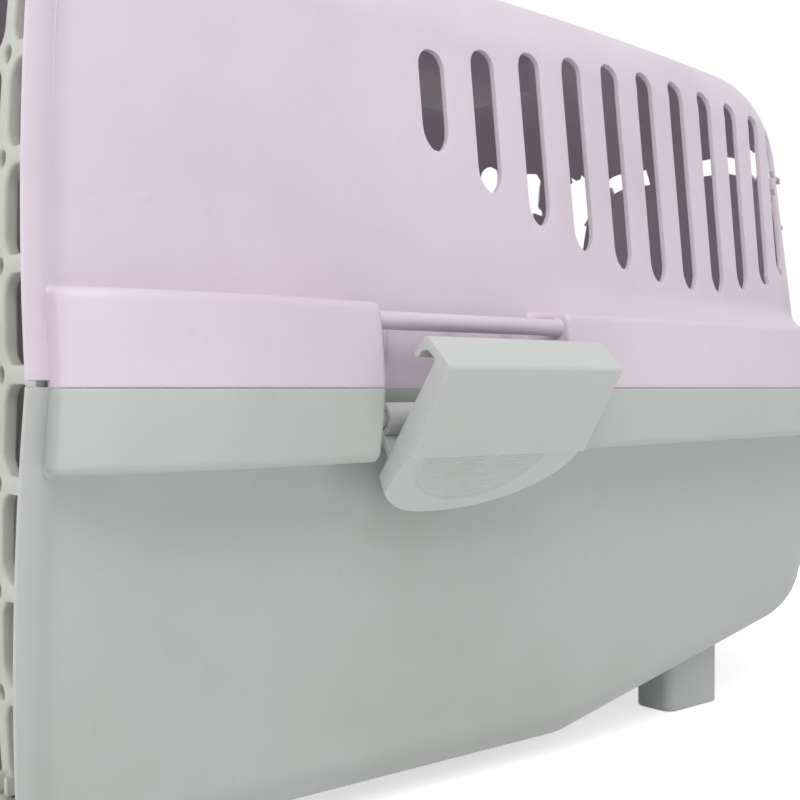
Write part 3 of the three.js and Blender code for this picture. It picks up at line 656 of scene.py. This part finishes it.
def belt_out(u):
    """How far the belt stands out from the side wall at a distance from the front edge."""
    stations = BELT_STATIONS
    if u <= stations[0][0]:
        return stations[0][1]
    for k in range(len(stations) - 1):
        (u0, y0), (u1, y1) = stations[k], stations[k + 1]
        if u <= u1:
            before = stations[max(k - 1, 0)]
            after = stations[min(k + 2, len(stations) - 1)]
            slope0 = (y1 - before[1]) / (u1 - before[0])
            slope1 = (after[1] - y0) / (after[0] - u0)
            t, span = (u - u0) / (u1 - u0), u1 - u0
            return (
                (2 * t ** 3 - 3 * t ** 2 + 1) * y0 + (t ** 3 - 2 * t ** 2 + t) * span * slope0
                + (3 * t ** 2 - 2 * t ** 3) * y1 + (t ** 3 - t ** 2) * span * slope1
            )
    return stations[-1][1]


def belt_path(s):
    """The belt's edge as a flat point, with the skin's row beside it and how far that has closed up."""
    corner_run = BELT_CORNER * math.pi / 2
    if s <= BELT_CORNER_AT[1]:
        past = max(s - BELT_STRAIGHT, 0.0)
        u = s - past + past * (LENGTH - REAR_ROUND - BELT_STRAIGHT) / (BELT_CORNER_AT[1] - BELT_STRAIGHT)
        row = FRONT_SHARE * min(u / RIM_LENGTH, 1)
        row += (REAR_SHARE - FRONT_SHARE) * max(u - RIM_LENGTH, 0) / (LENGTH - REAR_ROUND - RIM_LENGTH)
        return Vector((HALF + belt_out(s), s)), row, 1.0
    s -= BELT_CORNER_AT[1]
    if s <= corner_run:
        turn = s / BELT_CORNER
        edge = Vector(BELT_CORNER_AT) + Vector((math.cos(turn), math.sin(turn))) * BELT_CORNER
        return edge, REAR_SHARE + (WALL_SHARE - REAR_SHARE) * s / corner_run, 1.0
    left = 1 - min((s - corner_run) / BELT_CORNER_AT[0], 1.0)
    return Vector((BELT_CORNER_AT[0] * left, BELT_REAR)), WALL_SHARE, left


def wall_beside(shell, row, squeeze, level):
    """The flat place of a shell's wall at a level, beside a place on the belt."""
    lengths = half_outline(shell, 0.0)[4]
    spot = skin_point(shell, level / (2 * sum(lengths)), row)
    return Vector((spot.x * squeeze, spot.y))


def belt_ring(shell, height, s, drawn, mirror):
    """One cross-section of a belt block, drawn in at its rounded ends."""
    edge, row, squeeze = belt_path(s)
    wall = wall_beside(shell, row, squeeze, 0.0)
    out = (edge - wall).normalized()
    top = height - drawn
    round_top = max(BELT_ROUND - drawn * 0.5, 1.0)
    lip = (edge - wall).length + BELT_SWELL - drawn
    seam, lowest, rows = 0.06, 1.6, 8
    flat = [(-BELT_BITE, seam), (lip - 0.7, seam), (lip - 0.2, 0.2), (lip, 0.6)]
    for k in range(rows + 1):
        level = lowest + (top - round_top - lowest) * k / rows
        flat.append((lip - BELT_SWELL * (level / height) ** 1.6, level))
    over = flat[-1][0]
    for turn in quarter_turns(6)[1:]:
        flat.append((over - round_top * (1 - math.cos(turn)), top - round_top * (1 - math.sin(turn))))
    spots = [(wall + out * away, level) for away, level in flat]
    foot = wall_beside(shell, row, squeeze, top)
    ledge = (spots[-1][0] - foot).normalized()
    spots.append(((foot + spots[-1][0]) / 2, top))
    for turn in quarter_turns(4):
        away, level = BELT_FILLET * (1 - math.sin(turn)), BELT_FILLET * (1 - math.cos(turn))
        spots.append((foot + ledge * away, top + level))
    spots.append((foot - ledge * BELT_BITE, top + BELT_FILLET))
    return [Vector((mirror * spot.x, spot.y, shell["sign"] * level)) for spot, level in spots]


def belt_block(shell, tall, start, end, mirror):
    """A block of the belt from one run along it to another, with rounded ends."""
    spacing, turns = 3.2, quarter_turns(5)[:-1]
    ends = [(BELT_END_ROUND * (1 - math.cos(t)), BELT_END_ROUND * (1 - math.sin(t))) for t in turns]
    straight = end - start - 2 * BELT_END_ROUND
    count = max(int(straight / spacing), 4)
    stations = [(start + away, drawn) for away, drawn in ends]
    stations += [(start + BELT_END_ROUND + straight * k / count, 0.0) for k in range(count + 1)]
    stations += [(end - away, drawn) for away, drawn in reversed(ends)]
    rings = []
    for s, drawn in stations:
        taper = 1.0
        if shell is TUB:
            back = (belt_path(s)[0].y - TUB_BELT_FROM) / (BELT_REAR - TUB_BELT_FROM)
            taper = 1 - TUB_BELT_LESS_SHARE * min(max(back, 0.0), 1.0)
        rings.append(belt_ring(shell, tall * taper, s, drawn, mirror))
    return lofted(rings)


REAR_GAP_RUN = BELT_CORNER_AT[1] + BELT_CORNER * math.pi / 2 + BELT_CORNER_AT[0] - GAP / 2


def belt(shell, tall, finish, name):
    blocks = []
    for mirror in (1, -1):
        for start, end in ((BELT_STATIONS[0][0], GAP_FRONT), (GAP_FRONT + GAP, REAR_GAP_RUN)):
            blocks.append(piece(name, belt_block(shell, tall, start, end, mirror), finish))
    return gather(*blocks)


def turned_rod(radius, start, end, flare=1.4):
    """A round bar between two points, its ends spreading into what carries them."""
    count = 28
    axis = (end - start).normalized()
    across = axis.orthogonal().normalized()
    other = axis.cross(across)
    length = (end - start).length
    stations = [(0.0, flare), (0.4, flare * 0.62), (1.0, flare * 0.3), (2.0, flare * 0.08), (3.2, 0.0)]
    along = [(d, radius + r) for d, r in stations] + [(length / 2, radius)]
    along += [(length - d, radius + r) for d, r in reversed(stations)]
    rings = []
    for run, wide in along:
        middle = start + axis * run
        turns = [2 * math.pi * k / count for k in range(count)]
        rings.append([middle + (across * math.cos(t) + other * math.sin(t)) * wide for t in turns])
    return lofted(rings)


def upright_rod(radius, x, u, one_end, other_end):
    """A plain round bar that stands upright."""
    low, high = sorted((one_end, other_end))
    return turned_rod(radius, Vector((x, u, low)), Vector((x, u, high)), flare=0.0)


def bars(name, out, rear, z, radius, finish):
    """The bar or pin of each latch, between the two ends of its gap in the belt."""
    bite = 0.6
    half = GAP / 2 + bite
    ends = (
        (Vector((out, MIDDLE - half, z)), Vector((out, MIDDLE + half, z))),
        (Vector((-out, MIDDLE - half, z)), Vector((-out, MIDDLE + half, z))),
        (Vector((-half, rear, z)), Vector((half, rear, z))),
    )
    return gather(*(piece(name, turned_rod(radius, *pair), finish) for pair in ends))


FRAME_U = 9.0
FRAME_INSET = 3.9
DOOR_CLEAR = 1.5
SHELF_INSET = 6.0
SHELF_DEEP = 24.0
SHELF_THICK = 3.0
SHELF_HOLE = 3.4
SHELF_GRID = (40, 4)
FRAME_GRID = (120, 3)


def front_frame(shell, edge_z, finish):
    """The strip between a shell's front edge and the door, and the shelf over or under the door."""
    opening = edge_z + DOOR_CLEAR
    inset, flare_share = 1.2, 0.7

    def at(a, b):
        x, height = section_point(shell, inset, a)
        flare = 1 + (1 - b) * RIM_FLARE * flare_share / HALF
        x, height = x * flare, height * flare
        z = height * (1 - b) + min(height, opening) * b
        edge = HALF - FRAME_INSET - shell["lean"] * min(height, opening)
        return Vector((x * (1 - b) + min(max(x, -edge), edge) * b, FRAME_U + bow(z), shell["sign"] * z))
    face = thicken(piece("frame", grid_skin(*FRAME_GRID, at), finish), WALL, 0.5)
    half = HALF - SHELF_INSET - shell["lean"] * opening

    def ledge(a, b):
        return Vector((half * (2 * a - 1), FRAME_U + bow(opening) + SHELF_DEEP * b, shell["sign"] * opening))
    shelf = thicken(
        piece("shelf", grid_skin(*SHELF_GRID, ledge), finish), SHELF_THICK, 0.6, offset=shell["sign"],
    )
    ends = [shell["sign"] * (opening + past * SHELF_THICK) for past in (-2, 3)]
    drills = [piece("drill", upright_rod(SHELF_HOLE, x, PINS_U, *ends), finish) for x in (HINGE_X, BOLT_X)]
    return gather(face, carve(shelf, drills))


def rib_bricks():
    """Short upright ribs on the wall behind the right and left bars."""
    apart, half, bite, proud = 34.0, 0.9, 1.2, 5.0
    foot, head = 14.0, 30.0
    made = []
    for k in (-1, 0, 1):
        for side in (1, -1):
            wall = HALF - LID["lean"] * BAR[1]
            low, high = sorted((side * (wall - bite), side * (wall + proud)))
            u = MIDDLE + apart * k
            made.append(piece("rib", brick(low, high, u - half, u + half, foot, head, 0.5), lilac))
    return made


def tongue():
    """The rib round the tub's top edge that centres the lid, in a front stretch and one behind the door."""
    spacing, root, top = 5.0, -6.0, 4.0
    profile = ((2.9, root), (2.9, 3.4), (3.4, top), (4.0, top), (4.4, 3.4), (4.4, root))
    stretches = ((4.0, 11.0), (70.0, REAR_GAP_RUN + 50.0))
    made = []
    for first, last in stretches:
        for mirror in (1, -1):
            count = max(int((last - first) / spacing), 3)
            rings = []
            for k in range(count + 1):
                _, row, squeeze = belt_path(first + (last - first) * k / count)
                ring = []
                for inset, z in profile:
                    spot = skin_point(LID, 0.0, row, inset)
                    ring.append(Vector((mirror * spot.x * squeeze, spot.y, z)))
                rings.append(ring)
            made.append(piece("tongue", lofted(rings), grey))
    return made


def feet():
    """Four moulded feet; the rear pair reaches up to the floor, which rises there."""
    wide, long, below, outwards = 26.0, 46.0, 7.0, 12.0
    outside = HALF - TUB["lean"] * TUB["height"] - TUB["wide"] + outwards
    ground = -TUB["height"] - below
    made = []
    for side in (1, -1):
        low, high = sorted((side * (outside - wide), side * outside))
        for front, reach in ((30.0, 6.0), (406.0, 42.0)):
            form = brick(low, high, front, front + long, ground, ground + below + reach, 1.6, 6.0)
            made.append(piece("foot", form, grey))
    return made


SHELL_CREASE, CREASE = 42.0, 38.0

lid = thicken(piece("lid_shell", lid_skin(), lilac), WALL, WALL_EDGE)
lid_bars = bars("lid_bar", BAR[0], REAR_BAR_U, *BAR[1:], lilac)
lid = gather(lid, front_frame(LID, DOOR_TOP, lilac), *rib_bricks())
lid = gather(lid, belt(LID, LID_BELT, lilac, "lid_belt"), lid_bars)
shade(lid, SHELL_CREASE)
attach(lid, "upper")
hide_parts("upper_shell")

tub = thicken(piece("tub_shell", shell_skin(TUB, *TUB_GRID), grey), WALL, WALL_EDGE)
tub_pins = bars("tub_pin", PIN[0], REAR_PIN_U, *PIN[1:], grey)
tub = gather(tub, front_frame(TUB, DOOR_BOTTOM, grey), *tongue(), *feet())
tub = gather(tub, belt(TUB, TUB_BELT, grey, "tub_belt"), tub_pins)
shade(tub, SHELL_CREASE)
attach(tub, "lower")
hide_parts("lower_shell")

# Latches: a bent plate whose hook grips the bar, with end cheeks, a snap barrel and a grip flap
LATCH_HALF = 48.0
LATCH_OPEN = math.radians(43)
STEP_OUT, STEP_UP = 28.0, 6.0
FOLD_OUT = 20.3
FLAP = Vector((25.6, -27.0))
FLAP_BACK = 2.2
FLAP_DEEPEST = 0.36
PLATE = 2.8
PLATE_TOP = 46.2
CHEEK = 6.5
HOOK_REACH = 6.6
LATCH_BACK = 3.0
BARREL_HALF = 43.0
BARREL_OUTSIDE, BARREL_INSIDE, BARREL_MOUTH = 6.6, 4.3, math.radians(43)
PAD_MIDDLE, PAD_HALF, PAD_DOWN = 0.43, 0.36, 0.84
PAD_DEEP, PAD_RIDGE, PAD_RIDGES = 1.2, 0.5, 17


def pad_depth(t, d):
    """How deep the grip pad lies at a place on the flap: across it, and down it, both as shares."""
    reach = 1 - math.hypot((t - PAD_MIDDLE) / PAD_HALF, d / PAD_DOWN)
    if reach <= 0:
        return 0.0
    ridge = 0.5 - 0.5 * math.cos(2 * math.pi * d * PAD_RIDGES)
    return PAD_DEEP * smooth(0.0, 0.06, reach) - PAD_RIDGE * smooth(0.06, 0.12, reach) * ridge


def flap_share(t):
    """How far down the flap reaches at a place across it: furthest a third of the way along."""
    if t < FLAP_DEEPEST:
        return 1 - 0.4 * (1 - t / FLAP_DEEPEST) ** 3
    past = (t - FLAP_DEEPEST) / (1 - FLAP_DEEPEST)
    return max(math.sqrt(max(1 - past ** 2, 0.0)), 0.08)


def latch_profile(run):
    """The plate's cross-section at a place along the latch; the flap's lower edge is an arc."""
    t = (run + LATCH_HALF) / (2 * LATCH_HALF)
    share = flap_share(t)
    bar = Vector((BAR[0] - PIN[0], BAR[1] - PIN[1]))
    hook = BAR[2] + 0.5
    tip = bar.x - HOOK_REACH
    slope = (STEP_OUT - FOLD_OUT) / (PLATE_TOP - STEP_UP)
    cheek = CHEEK * smooth(LATCH_HALF - 3.4, LATCH_HALF - 2.2, abs(run))
    outer = Vector((STEP_OUT - FLAP_BACK, STEP_UP - 1.0))
    inner = Vector((STEP_OUT - FLAP_BACK - PLATE - cheek, STEP_UP - 0.5))
    foot = outer + (FLAP - outer) * share
    heel = inner + (FLAP + Vector((-PLATE - cheek * 0.4, 0.9 + cheek * 0.3)) - inner) * share
    down = (FLAP - outer).normalized()
    inwards = Vector((down.y, -down.x))
    count = 84
    face = []
    for k in range(count + 1):
        spot = outer + (foot - outer) * (k / count) + inwards * pad_depth(t, k / count * share)
        face.append((spot.x, spot.y, 0))
    turns = [math.radians(90 + 9 * k) for k in range(13)]
    arc = [(bar.x + hook * math.cos(turn), bar.y + hook * math.sin(turn), 0) for turn in turns]
    lip = foot + down * 0.9
    return rounded([
        (tip, PLATE_TOP, 2.6), (FOLD_OUT, PLATE_TOP, 1.8), (STEP_OUT, STEP_UP, 0.5),
        (STEP_OUT - FLAP_BACK, STEP_UP - 0.5, 0.2),
        *face, (lip.x, lip.y, 1.2), (heel.x, heel.y, 1.0), (inner.x, inner.y, 0.4),
        (STEP_OUT - PLATE - cheek * 0.9 - (bar.y + hook - STEP_UP) * slope, bar.y + hook, 1.5), *arc,
        (tip + 1.3, bar.y - 2.9, 0.7), (tip, bar.y - 1.4, 0.8),
    ])


def latch_piece(name, turn, x, u, body):
    """One latch, standing open, on its pin at (x, u), facing the way that the turn gives."""
    def put(a, b, run):
        out = a * math.cos(LATCH_OPEN) + b * math.sin(LATCH_OPEN)
        up = -a * math.sin(LATCH_OPEN) + b * math.cos(LATCH_OPEN)
        return Vector((
            x + out * math.cos(turn) - run * math.sin(turn), u + out * math.sin(turn) + run * math.cos(turn),
            PIN[1] + up,
        ))
    plate = run_solid(None, -LATCH_HALF, LATCH_HALF, 0.3, put, middle=110, shape=latch_profile)
    barrel = []
    steps = 30
    for radius, outside in ((BARREL_OUTSIDE, True), (BARREL_INSIDE, False)):
        for k in range(steps + 1):
            turned = BARREL_MOUTH + (2 * math.pi - 2 * BARREL_MOUTH) * k / steps
            turned = math.pi + (turned if outside else 2 * math.pi - turned)
            barrel.append(Vector((math.cos(turned), math.sin(turned))) * radius)
    root = Vector((3.9, -3.9))
    web = rounded([
        (root.x, root.y - 1.1, 0.4), (root.x + 1.1, root.y + 1.1, 0.4), (24.6, -9.4, 0.4), (24.6, -11.6, 0.4),
    ])
    forms = [
        plate, run_solid(barrel, -BARREL_HALF, BARREL_HALF, 0.5, put),
        run_solid(web, -BARREL_HALF, BARREL_HALF, 0.4, put),
    ]
    obj = gather(*(piece(name, form, pale, CREASE) for form in forms))
    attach(obj, body)
    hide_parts(name.replace("_dressed", ""))


latch_piece("latch_right_dressed", 0.0, PIN[0], MIDDLE + LATCH_BACK, "right_latch")
latch_piece("latch_left_dressed", math.pi, -PIN[0], MIDDLE + LATCH_BACK, "left_latch")
latch_piece("latch_rear_dressed", math.pi / 2, 0.0, REAR_PIN_U, "rear_latch")

# Door grille, built cell by cell: each cell is the ring of plate round one hole
DOOR_FACE = 14.0
DOOR_THICK = 5.4
COLUMNS, ROWS = 9, 8
PITCH_X, PITCH_Z = 32.0, 39.3
GRID_BAR_X, GRID_BAR_Z = 9.0, 6.8
GRID_LOWEST = -132.9
HOLE_ROUND = 8.0
DOOR_CORNER = 13.0
DOT = 3.2
PIN_RADIUS, PIN_BOSS, PIN_LENGTH, BOSS_LENGTH = 3.0, 4.6, 6.0, 7.0
FOLLOW_TOP_SHARE, FOLLOW_BOTTOM_SHARE = 0.807, 0.858


def column_share(z):
    """How far the grille's columns close up with the door's lean at a height."""
    follow = FOLLOW_TOP_SHARE * LID["lean"] if z > 0 else -FOLLOW_BOTTOM_SHARE * TUB["lean"]
    return 1 - follow * z / DOOR_HALF


def door_side(z):
    lean = LID["lean"] if z > 0 else -TUB["lean"]
    return DOOR_HALF - lean * z


def grid_node(column, row):
    """Where two bars of the grille cross; the outermost ones lie on the door's edge."""
    z = GRID_LOWEST + PITCH_Z * (row - 0.5)
    z = -DOOR_BOTTOM if row == 0 else DOOR_TOP if row == ROWS else z
    if column in (0, COLUMNS):
        return Vector((door_side(z) * (1 if column else -1), z))
    return Vector(((column - COLUMNS / 2) * PITCH_X * column_share(z), z))


def cell_rings(column, row):
    """The hole of a cell and the cell's own edge, with as many points each."""
    middle = (column - (COLUMNS - 1) / 2) * PITCH_X
    half = (PITCH_X - GRID_BAR_X) / 2
    z = GRID_LOWEST + PITCH_Z * row
    low, high = z - (PITCH_Z - GRID_BAR_Z) / 2, z + (PITCH_Z - GRID_BAR_Z) / 2
    left, right = middle - half, middle + half
    hole = rounded([
        (left * column_share(low), low, HOLE_ROUND), (right * column_share(low), low, HOLE_ROUND),
        (right * column_share(high), high, HOLE_ROUND), (left * column_share(high), high, HOLE_ROUND),
    ], 6)
    corners = ((0, 0), (1, 0), (1, 1), (0, 1))
    nodes = [grid_node(column + i, row + j) for i, j in corners]
    edge = []
    for k, (i, j) in enumerate(corners):
        here = nodes[k]
        back, on = (nodes[k - 1] - here).normalized(), (nodes[(k + 1) % 4] - here).normalized()
        rim_column, rim_row = column + i in (0, COLUMNS), row + j in (0, ROWS)
        if rim_column and rim_row:
            corner = rounded([(*nodes[k - 1], 0), (*here, DOOR_CORNER), (*nodes[(k + 1) % 4], 0)], 6)
            edge += corner[1:8]
        elif rim_column or rim_row:
            edge += [here + (back * (3 - m) if m < 3 else on * (m - 3)) * (DOT / 3) for m in range(7)]
        else:
            turns = [m * math.pi / 12 for m in range(7)]
            edge += [here + (back * math.cos(t) + on * math.sin(t)).normalized() * DOT for t in turns]
    return hole, edge


def door_sheet():
    bm = bmesh.new()
    for column in range(COLUMNS):
        for row in range(ROWS):
            loops = []
            for ring in cell_rings(column, row):
                verts = [bm.verts.new((p.x, DOOR_FACE + bow(p.y), p.y)) for p in ring]
                loops += [bm.edges.new((verts[k - 1], verts[k])) for k in range(len(verts))]
            bmesh.ops.bridge_loops(bm, edges=loops)
    bmesh.ops.remove_doubles(bm, verts=bm.verts, dist=0.02)
    bmesh.ops.recalc_face_normals(bm, faces=bm.faces)
    if sum(f.normal.y * f.calc_area() for f in bm.faces) > 0:
        bmesh.ops.reverse_faces(bm, faces=bm.faces)
    return bm


grille = thicken(piece("door_sheet", door_sheet(), warm), DOOR_THICK, 1.2)
fittings = []
GUIDE_HALF, GUIDE_BORE, GUIDE_FRONT, GUIDE_BACK = 6.0, 3.2, 20.0, PINS_U + 5.6
for edge_z, s in ((DOOR_TOP, 1), (-DOOR_BOTTOM, -1)):
    low, high = sorted((edge_z - s * BOSS_LENGTH, edge_z - s * 0.1))
    fittings.append(upright_rod(PIN_RADIUS, HINGE_X, PINS_U, edge_z - PIN_LENGTH, edge_z + PIN_LENGTH))
    fittings.append(upright_rod(PIN_BOSS, HINGE_X, PINS_U, low, high))
    edges = BOLT_X - GUIDE_HALF, BOLT_X + GUIDE_HALF
    fittings.append(brick(*edges, PINS_U + 2.9, GUIDE_BACK, low, high, 0.6))
    for side in (-1, 1):
        edges = sorted((BOLT_X + side * GUIDE_BORE, BOLT_X + side * GUIDE_HALF))
        fittings.append(brick(*edges, GUIDE_FRONT, GUIDE_BACK, low, high, 0.6))
grille = gather(grille, *(piece("door_fitting", form, warm) for form in fittings))
shade(grille, CREASE)
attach(grille, "door")
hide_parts("door_grille")

# Door latch: two bolts with finger tabs, their cover and the spring between them
CHANNEL_U = 20.33
BLOCK_DEEP = 9.4
SQUEEZE = 4.65
SPRING = 11.0
BLOCK_TALL = 14.0
BLOCK_HALF = 5.5
TAB_HALF, TAB_TALL = 7.0, 4.0
BOLT_RADIUS = 2.8
COVER_WALL = 1.8


def bolt_piece(name, s, edge_z, body):
    """A bolt: its round rod, the block in the cover and the ridged finger tab in front of the grille."""
    foot, head = SQUEEZE + s * SPRING / 2, SQUEEZE + s * (SPRING / 2 + BLOCK_TALL)
    low, high = sorted((foot, head))
    tab = sorted((head, head - s * TAB_TALL))
    bite, tab_front = 1.2, DOOR_FACE - 10.5
    left, right = BOLT_X - BLOCK_HALF, BOLT_X + BLOCK_HALF
    forms = [
        brick(left, right, CHANNEL_U, CHANNEL_U + BLOCK_DEEP, low, high, 0.6),
        brick(left, right, DOOR_FACE - bite, CHANNEL_U + bite, *tab, 0.6),
        brick(BOLT_X - TAB_HALF, BOLT_X + TAB_HALF, tab_front, DOOR_FACE - 0.6, *tab, 1.4, 3.0),
        upright_rod(BOLT_RADIUS, BOLT_X, PINS_U, foot + s * bite, s * (edge_z - 0.6)),
    ]
    half, ridge, apart = 5.0, 1.2, 2.6
    outer = sorted((head, head + s * 0.5))
    for k in range(3):
        u = tab_front + 1.5 + apart * k
        forms.append(brick(BOLT_X - half, BOLT_X + half, u, u + ridge, outer[0] - 0.3, outer[1], 0.3))
    obj = gather(*(piece(name, form, warm) for form in forms))
    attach(obj, body)
    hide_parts(name.replace("_dressed", ""))


bolt_piece("door_bolt_upper_dressed", 1, DOOR_TOP, "bolt_upper")
bolt_piece("door_bolt_lower_dressed", -1, DOOR_BOTTOM, "bolt_lower")


def cover_piece():
    """The cover behind the grille: a channel for both blocks, its ends closed beside the rods."""
    clear, travel, bite = 0.3, 14.0, 1.2
    half, reach = BLOCK_HALF + clear, SPRING / 2 + BLOCK_TALL + travel
    back = CHANNEL_U + BLOCK_DEEP + clear
    low, high = SQUEEZE - reach, SQUEEZE + reach
    left, right = BOLT_X - half - COVER_WALL, BOLT_X + half + COVER_WALL
    forms = [
        brick(left, right, back, back + COVER_WALL, low, high, 0.8),
        brick(left, BOLT_X - half, CHANNEL_U, back + bite, low, high, 0.5),
        brick(BOLT_X + half, right, CHANNEL_U, back + bite, low, high, 0.5),
    ]
    for end in (low, high - COVER_WALL):
        for side in (-1, 1):
            edges = sorted((BOLT_X + side * GUIDE_BORE, BOLT_X + side * (half + 0.6)))
            forms.append(brick(*edges, CHANNEL_U, back + bite, end, end + COVER_WALL, 0.4))
    obj = gather(*(piece("door_cover_dressed", form, warm) for form in forms))
    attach(obj, "door")
    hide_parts("door_latch_cover")


cover_piece()


def spring_piece():
    """A wound spring: a wire drawn along a coil, its end turns steeper than those between."""
    turns, count, steps = 6, 10, 20
    length, coil, wire = SPRING - 1.4, 2.5, 0.4
    rings = []
    total = turns * steps
    for k in range(total + 1):
        share = k / total
        turn = 2 * math.pi * turns * share
        climbed = 0.08 * smooth(0, 0.15, share) + 0.84 * share + 0.08 * smooth(0.85, 1, share)
        z = SQUEEZE - length / 2 + length * climbed
        out = Vector((math.cos(turn), math.sin(turn), 0))
        middle = Vector((BOLT_X, CHANNEL_U + BLOCK_DEEP / 2, z)) + out * coil
        ring = []
        for m in range(count):
            around = 2 * math.pi * m / count
            ring.append(middle + out * (wire * math.cos(around)) + Vector((0, 0, wire * math.sin(around))))
        rings.append(ring)
    obj = piece("door_spring_dressed", lofted(rings), steel)
    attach(obj, "door")
    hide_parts("door_latch_spring")


spring_piece()

# Carrying handle: the bail with its grip, lying flat in the recess
HANDLE_Z = LID["height"] - RECESS_DEPTH + 2.5
HANDLE_THICK, HANDLE_ARM = 12.0, 15.0
HANDLE_FOOT, GRIP_IN, GRIP_OUT = -27.0, 10.5, 29.5
HANDLE_FRONT, HANDLE_REAR = RECESS_LOW[1] + 2, RECESS_HIGH[1] - 2
PIVOT_X, PIVOT_RADIUS, PIVOT_PAST, PIVOT_INTO = -22.0, 3.6, 4.4, 8.0
RIDGES, RIDGE, RIDGE_PITCH, RIDGE_INSET = 9, 3.0, 12.5, 3.0
handle_outline = rounded([
    (HANDLE_FOOT, HANDLE_FRONT, 5), (GRIP_OUT, HANDLE_FRONT, 12), (GRIP_OUT, HANDLE_REAR, 12),
    (HANDLE_FOOT, HANDLE_REAR, 5), (HANDLE_FOOT, HANDLE_REAR - HANDLE_ARM, 5),
    (GRIP_IN, HANDLE_REAR - HANDLE_ARM, 9), (GRIP_IN, HANDLE_FRONT + HANDLE_ARM, 9),
    (HANDLE_FOOT, HANDLE_FRONT + HANDLE_ARM, 5),
], 8)
handle_forms = [run_solid(handle_outline, HANDLE_Z, HANDLE_Z + HANDLE_THICK, 3.2, along_z)]
for end, into in ((HANDLE_FRONT, 1), (HANDLE_REAR, -1)):
    spots = sorted((end - into * PIVOT_PAST, end + into * PIVOT_INTO))
    handle_forms.append(turned_rod(
        PIVOT_RADIUS, *(Vector((PIVOT_X, u, HANDLE_Z + HANDLE_THICK / 2)) for u in spots), flare=0.0,
    ))
ridge_top = HANDLE_Z + HANDLE_THICK + 0.5
for k in range(RIDGES):
    u = (HANDLE_FRONT + HANDLE_REAR) / 2 + (k - (RIDGES - 1) / 2) * RIDGE_PITCH - RIDGE / 2
    handle_forms.append(brick(
        GRIP_IN + RIDGE_INSET, GRIP_OUT - RIDGE_INSET, u, u + RIDGE, ridge_top - 1.5, ridge_top, 0.7,
    ))
handle = gather(*(piece("handle_dressed", form, grey) for form in handle_forms))
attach(handle, "handle")
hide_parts("carry_handle")

# Every drawn node carries its plastic too
for node, finish in (
    ("lower_shell", grey), ("upper_shell", lilac), ("door_grille", warm), ("door_bolt_upper", warm),
    ("door_bolt_lower", warm), ("door_latch_cover", warm), ("carry_handle", grey), ("latch_right", pale),
    ("latch_left", pale), ("latch_rear", pale), ("door_latch_spring", steel),
):
    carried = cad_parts[node]
    carried.data.materials.clear()
    carried.data.materials.append(finish)

# Floor and light
def paths_seen(tree):
    """1 for rays from the camera, glossy rays and rays through clear pieces, 0 for the rest."""
    rays = tree.nodes.new("ShaderNodeLightPath")
    kinds = [Value(tree, rays.outputs[f"Is {kind} Ray"]) for kind in ("Camera", "Glossy", "Transmission")]
    return kinds[0] + kinds[1] + kinds[2]


floor_bm = bmesh.new()
bmesh.ops.create_grid(floor_bm, x_segments=1, y_segments=1, size=6.0)
floor_mesh = bpy.data.meshes.new("floor")
floor_bm.to_mesh(floor_mesh)
floor_bm.free()
floor = add_object("floor", floor_mesh)
paper, paper_shader = new_material("floor_paper")
paper_shader.inputs["Base Color"].default_value = (0.86, 0.86, 0.86, 1)
paper_shader.inputs["Roughness"].default_value = 0.9
feed(paper.node_tree, paper_shader.inputs["Emission Color"], paths_seen(paper.node_tree) * 0.6)
paper_shader.inputs["Emission Strength"].default_value = 1.0
floor_mesh.materials.append(paper)

soft_light("key", (1.3, -1.0, 1.9), (0, 0, 0.15), 1.6, 1.6, 29.5)
soft_light("fill", (-1.6, -1.6, 1.2), (0, 0, 0.15), 2.0, 2.0, 11.3)
world = bpy.data.worlds.new("studio")
world.use_nodes = True
sky = world.node_tree.nodes["Background"]
sky.inputs["Color"].default_value = (1, 1, 1, 1)
feed(world.node_tree, sky.inputs["Strength"], paths_seen(world.node_tree) * 0.48 + 0.52)
bpy.context.scene.world = world
bpy.context.scene.view_settings.view_transform = "Standard"
